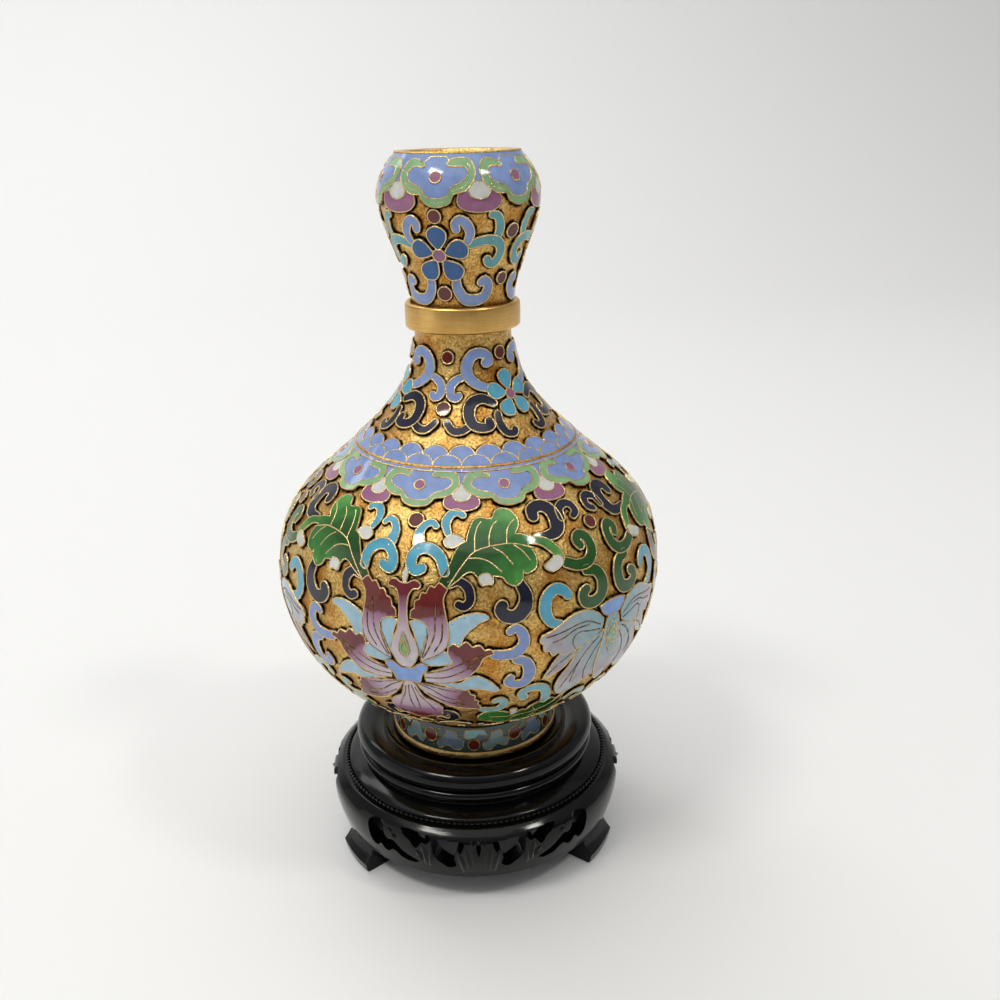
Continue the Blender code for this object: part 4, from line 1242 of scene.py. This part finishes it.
def drum_outside():
    """The drum's wall from its bottom rail up to the beaded step."""
    side = arc((24.9, DRUM_BASE + 0.5), 0.5, -90, 0, 4)
    side += curve(side[-1], (25.9, 7.2), (DRUM_RADIUS, 9.4), (DRUM_RADIUS, DRUM_WIDEST), 14)
    side += curve(side[-1], (DRUM_RADIUS, 13.4), (26.0, 13.9), (25.0, 14.62), 12)
    side += arc((24.65, 14.13), 0.6, 48, 95, 5)
    return side


def stand_profile():
    """From the middle of the seat over the lip, down the waist and the drum, and back under it."""
    dish = (16.2, SEAT_LEVEL + 0.1)
    profile = [(0.0, SEAT_LEVEL), (15.9, SEAT_LEVEL), dish]
    profile += curve(dish, (16.9, STAND_TOP - 0.45), (18.4, STAND_TOP - 0.02), (19.75, STAND_TOP), 8)
    profile += arc((19.8, STAND_TOP - LIP_ROUNDING), LIP_ROUNDING, 87, -60, 16)
    profile += [(20.45, 19.2), (20.2, 19.1)]
    profile += arc((20.75, 18.25), 0.85, 115, -90, 9)
    profile += [
        (20.65, 17.0), (20.7, 16.55), (22.0, 16.15), (23.3, 15.6), (23.6, 15.35), (23.75, 14.95),
        (24.2, 14.72)]
    profile += reversed(drum_outside())
    profile += [(22.3, DRUM_BASE), (24.0, DRUM_WIDEST), (19.5, 14.9), (0.0, 14.9)]
    return profile


# Openings and leaf blades of half a panel: degrees from the panel's middle and mm above the table.
# A third value of 1 is a sharp corner.
OPENINGS = (
    ((45.2, 11.4), (44.9, 13.0), (43.2, 13.7), (40.0, 13.9), (38.0, 13.6), (37.3, 12.7), (36.7, 11.7),
     (35.3, 11.1), (33.9, 11.3), (32.2, 11.0), (28.3, 9.4), (22.5, 8.1, 1), (25.0, 7.5), (29.5, 7.8),
     (32.1, 8.8), (33.9, 9.0), (36.0, 8.2), (38.0, 8.4), (39.2, 9.3), (41.7, 8.3), (43.8, 8.6),
     (44.8, 9.8)),
    ((30.3, 13.9, 1), (26.5, 14.0), (22.0, 13.8), (18.3, 13.6), (18.0, 12.9), (19.6, 12.3), (20.9, 12.5),
     (22.0, 11.8), (23.3, 11.1), (24.7, 11.4), (25.7, 12.3), (28.0, 12.9)),
    ((17.2, 11.6), (17.1, 13.0), (13.9, 13.4), (10.2, 13.3), (5.6, 13.1), (5.4, 12.3), (6.7, 10.9, 1),
     (7.7, 11.8, 1), (8.9, 10.0), (8.4, 8.4), (10.8, 7.7), (13.3, 8.4), (15.6, 9.4), (16.8, 10.4)),
)
MIDDLE_SLIT = ((0.0, 13.4), (0.8, 12.6), (0.6, 11.3), (0.0, 10.4), (-0.6, 11.3), (-0.8, 12.6))
# radius and height of a foot's front and back edges
FOOT_OUTLINE = (
    (19.0, 0.0), (25.6, 0.0), (26.0, 0.4), (26.2, 1.7), (25.5, 2.6), (24.7, 3.8), (24.5, 5.3),
    (24.8, 7.4), (22.8, 7.4), (22.2, 4.8), (20.8, 2.7), (19.0, 1.4))
# foot and tip (degrees, mm), half width in mm
LEAF_BLADES = (
    ((1.5, 6.8), (2.6, 13.9), 0.75),
    ((3.5, 6.8), (5.2, 12.2), 0.7),
    ((5.5, 6.7), (7.9, 11.2), 0.6),
    ((18.0, 7.6), (17.6, 11.2), 0.6),
    ((19.6, 7.8), (20.9, 11.9), 0.7),
    ((21.4, 8.3), (23.4, 10.7), 0.55),
    ((32.0, 11.8), (35.5, 13.4), 0.5),
)


def closed_mesh(name, points, faces):
    """A mesh of points in mm, with its faces turned outwards."""
    mesh = bpy.data.meshes.new(name)
    mesh.from_pydata([(x * MM, y * MM, z * MM) for x, y, z in points], [], faces)
    editing = bmesh.new()
    editing.from_mesh(mesh)
    bmesh.ops.recalc_face_normals(editing, faces=editing.faces)
    editing.to_mesh(mesh)
    editing.free()
    return mesh


def prism_faces(start, size, steps):
    """Faces of a closed bar: its rings of points follow each other, with flat ends."""
    faces = []
    for step in range(steps):
        a = start + step * size
        faces += [(a + i, a + (i + 1) % size, a + size + (i + 1) % size, a + size + i) for i in range(size)]
    last = start + steps * size
    return faces + [tuple(range(start, start + size)), tuple(range(last, last + size))]


def opening_cutter():
    """Prisms through the skirt for the openings of all the panels."""
    flat = Surface(((DRUM_RADIUS, 0.0), (DRUM_RADIUS, DRUM_TOP)))
    near, far = DRUM_RADIUS - 7.5, DRUM_RADIUS + 2.0
    halves = [(side, smooth_line(flat, shape, closed=True)) for shape in OPENINGS for side in (1, -1)]
    halves.append((1, smooth_line(flat, MIDDLE_SLIT, closed=True)))
    points, faces = [], []
    for panel in range(STAND_FEET):
        for side, rim in halves:
            start, size = len(points), len(rim)
            for reach in (near, far):
                for azimuth, z in rim:
                    turn = radians(side * azimuth + panel * 360.0 / STAND_FEET)
                    points.append((reach * sin(turn), -reach * cos(turn), z))
            faces += prism_faces(start, size, 1)
    return add_object("openings", closed_mesh("openings", points, faces))


def leaf_blades_mesh():
    """One panel's carved leaf blades: pointed leaves with a raised midrib, let into the drum's wall."""
    drum = Surface(drum_outside())
    shares = np.linspace(0.0, 1.0, 9)
    points, faces = [], []
    for side in (1, -1):
        for foot, tip, half in LEAF_BLADES:
            start = len(points)
            for t in shares:
                azimuth = foot[0] + (tip[0] - foot[0]) * t * t
                s = np.interp(foot[1] + (tip[1] - foot[1]) * t, drum.z, drum.s)
                width = max(half * sin(pi * (0.16 + 0.84 * t)) ** 0.7, 0.02) / drum.per_degree(s)
                rib = 0.08 + 0.26 * sin(pi * (0.1 + 0.9 * t))
                for across, lift in ((-width, 0.03), (0.0, rib), (width, 0.03), (0.0, -0.6)):
                    points.append(tuple(drum.place(side * (azimuth + across), s, lift)[0] / MM))
            faces += prism_faces(start, 4, len(shares) - 1)
    return closed_mesh("leaf_blades", points, faces)


def foot_mesh():
    """One bracket foot of the stand, at azimuth 60: an arched block that ends in a low toe."""
    turns = np.radians(np.linspace(-10.0, 10.0, 9))
    points = [(r * sin(a), -r * cos(a), z) for a in turns for r, z in FOOT_OUTLINE]
    mesh = closed_mesh("foot", points, prism_faces(0, len(FOOT_OUTLINE), len(turns) - 1))
    mesh.transform(Matrix.Rotation(radians(60.0), 4, "Z"))
    return mesh


def bead_mesh():
    """One bead of the stand's beaded step, at azimuth 0."""
    points = [(0.0, 0.0, -1.0)]
    levels = (-0.5, 0.0, 0.5)
    for level in levels:
        reach = (1 - level * level) ** 0.5
        turns = [2 * pi * k / BEAD_SIDES for k in range(BEAD_SIDES)]
        points += [(reach * cos(a), reach * sin(a), level) for a in turns]
    points.append((0.0, 0.0, 1.0))
    last = len(points) - 1
    sides = prism_faces(1, BEAD_SIDES, len(levels) - 1)[:-2]
    caps = [(pole, start + k, start + (k + 1) % BEAD_SIDES)
            for pole, start in ((0, 1), (last, last - BEAD_SIDES)) for k in range(BEAD_SIDES)]
    placed = [(1.25 * BEAD_RADIUS * x, BEAD_RADIUS * y - BEAD_RING, BEAD_RADIUS * z + BEAD_LEVEL)
              for x, y, z in points]
    return closed_mesh("bead", placed, sides + caps)


def make_stand():
    thing = add_object("stand_blank", turned_mesh("stand_blank", stand_profile(), 168))
    cutter = opening_cutter()
    step = thing.modifiers.new("openings", "BOOLEAN")
    step.operation = "DIFFERENCE"
    step.solver = "EXACT"
    step.object = cutter
    piece = baked(thing, "carved_stand")
    bpy.data.objects.remove(cutter, do_unlink=True)
    piece.data.materials.clear()
    piece.data.materials.append(LACQUER)
    finish_piece(piece, 35.0)
    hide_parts("stand")
    for name, mesh, copies in (
            ("stand_feet", foot_mesh(), STAND_FEET), ("stand_leaves", leaf_blades_mesh(), STAND_FEET),
            ("stand_beads", bead_mesh(), STEP_BEADS)):
        copies_round_axis(name, mesh, copies, LACQUER)


# Floor, light and camera

def make_floor():
    """A pale sheet, painted matt, that lies flat under the stand and curves up behind it."""
    width, front, back, bend, top = 1.6, -0.9, 0.55, 0.35, 1.5
    side_view = [(front, 0.0), (back, 0.0)]
    side_view += [(back + bend * sin(radians(a)), bend * (1 - cos(radians(a)))) for a in range(6, 91, 6)]
    side_view.append((back + bend, top))
    mesh = bpy.data.meshes.new("floor")
    points = [(x * width, y, z) for x in (-1, 1) for y, z in side_view]
    count = len(side_view)
    mesh.from_pydata(points, [], [(i, count + i, count + i + 1, i + 1) for i in range(count - 1)])
    mesh.shade_smooth()
    paint = bpy.data.materials.new("matt_white_paint")
    paint.use_nodes = True
    shader = paint.node_tree.nodes["Principled BSDF"]
    shader.inputs["Base Color"].default_value = linear("#e3e3e3")
    shader.inputs["Roughness"].default_value = 0.6
    mesh.materials.append(paint)
    floor = add_object("floor", mesh)


def add_light(name, place, target, size, power, colour):
    lamp = bpy.data.lights.new(name, "AREA")
    lamp.shape = "RECTANGLE"
    lamp.size, lamp.size_y = size
    lamp.energy = power
    lamp.color = linear(colour)[:3]
    thing = bpy.data.objects.new(name, lamp)
    thing.location = place
    thing.rotation_euler = (Vector(target) - Vector(place)).to_track_quat("-Z", "Y").to_euler()
    bpy.context.scene.collection.objects.link(thing)


# The room's light: its strength where it is darkest and brightest
ROOM_DARK, ROOM_BRIGHT = 0.14, 0.53


def room_world():
    """A dim room: bright overhead, dark low down on the camera's side, where the photographer stands."""
    world = bpy.data.worlds.new("room")
    world.use_nodes = True
    tree = world.node_tree
    ahead = add_node(tree, "ShaderNodeTexCoord").outputs["Generated"]
    parts = add_node(tree, "ShaderNodeSeparateXYZ", {"Vector": ahead}).outputs
    height = ranged(tree, parts["Z"], (0.05, 0.85), interpolation_type="SMOOTHSTEP")
    behind = ranged(tree, parts["Y"], (-0.55, 0.4), (0.0, 0.8), interpolation_type="SMOOTHSTEP")
    level = add_node(tree, "ShaderNodeMath", {0: height, 1: behind}, operation="MAXIMUM").outputs[0]
    background = tree.nodes["Background"].inputs
    background["Color"].default_value = linear("#f6f7f8")
    tree.links.new(ranged(tree, level, (0.0, 1.0), (ROOM_DARK, ROOM_BRIGHT)), background["Strength"])
    return world


# name, direction and distance in metres from the vase, size in metres, power in watts
LAMPS = (
    ("left_window", (-0.40, -0.37, 0.84), 0.8, (0.22, 0.09), 1.8),
    ("right_window", (0.50, -0.33, 0.80), 0.8, (0.11, 0.08), 0.95),
    ("ceiling", (-0.12, 0.02, 0.98), 1.25, (1.9, 1.5), 7.4),
    ("left_room", (-0.93, -0.3, 0.2), 0.9, (0.7, 0.5), 0.7),
)


def make_light():
    middle = Vector((0.0, 0.0, 0.06))
    for name, direction, distance, size, power in LAMPS:
        add_light(name, middle + distance * Vector(direction), middle, size, power, "#fffdf8")
    add_light("backdrop_lamp", (-0.5, 0.5, 0.75), (-0.3, 0.85, 0.1), (1.0, 0.3), 2.8, "#ffffff")
    bpy.context.scene.world = room_world()
    bpy.context.scene.view_settings.view_transform = "Standard"


def make_camera():
    """The photograph's viewpoint: a little above the mouth, 170 mm in front of the axis."""
    pitch, yaw, roll = (radians(a) for a in (20.27, 1.86, -1.09))
    right = Vector((cos(yaw), -sin(yaw), 0.0))
    ahead = Vector((cos(pitch) * sin(yaw), cos(pitch) * cos(yaw), -sin(pitch)))
    up = right.cross(ahead)
    side = right * cos(roll) + up * sin(roll)
    top = up * cos(roll) - right * sin(roll)
    lens = bpy.data.cameras.new("camera")
    lens.lens = 37.7
    lens.sensor_width = 36.0
    lens.clip_start, lens.clip_end = 0.01, 10.0
    camera = bpy.data.objects.new("camera", lens)
    basis = Matrix((side, top, -ahead)).transposed().to_4x4()
    camera.matrix_world = Matrix.Translation((0.0, -0.17, 0.1268)) @ basis
    bpy.context.scene.collection.objects.link(camera)
    bpy.context.scene.camera = camera


def main():
    make_vase_ground()
    make_body_enamel()
    make_neck_enamel()
    make_collars()
    make_scale_band()
    make_foot_band()
    make_neck_ring()
    make_stand()
    make_floor()
    make_light()
    make_camera()


main()
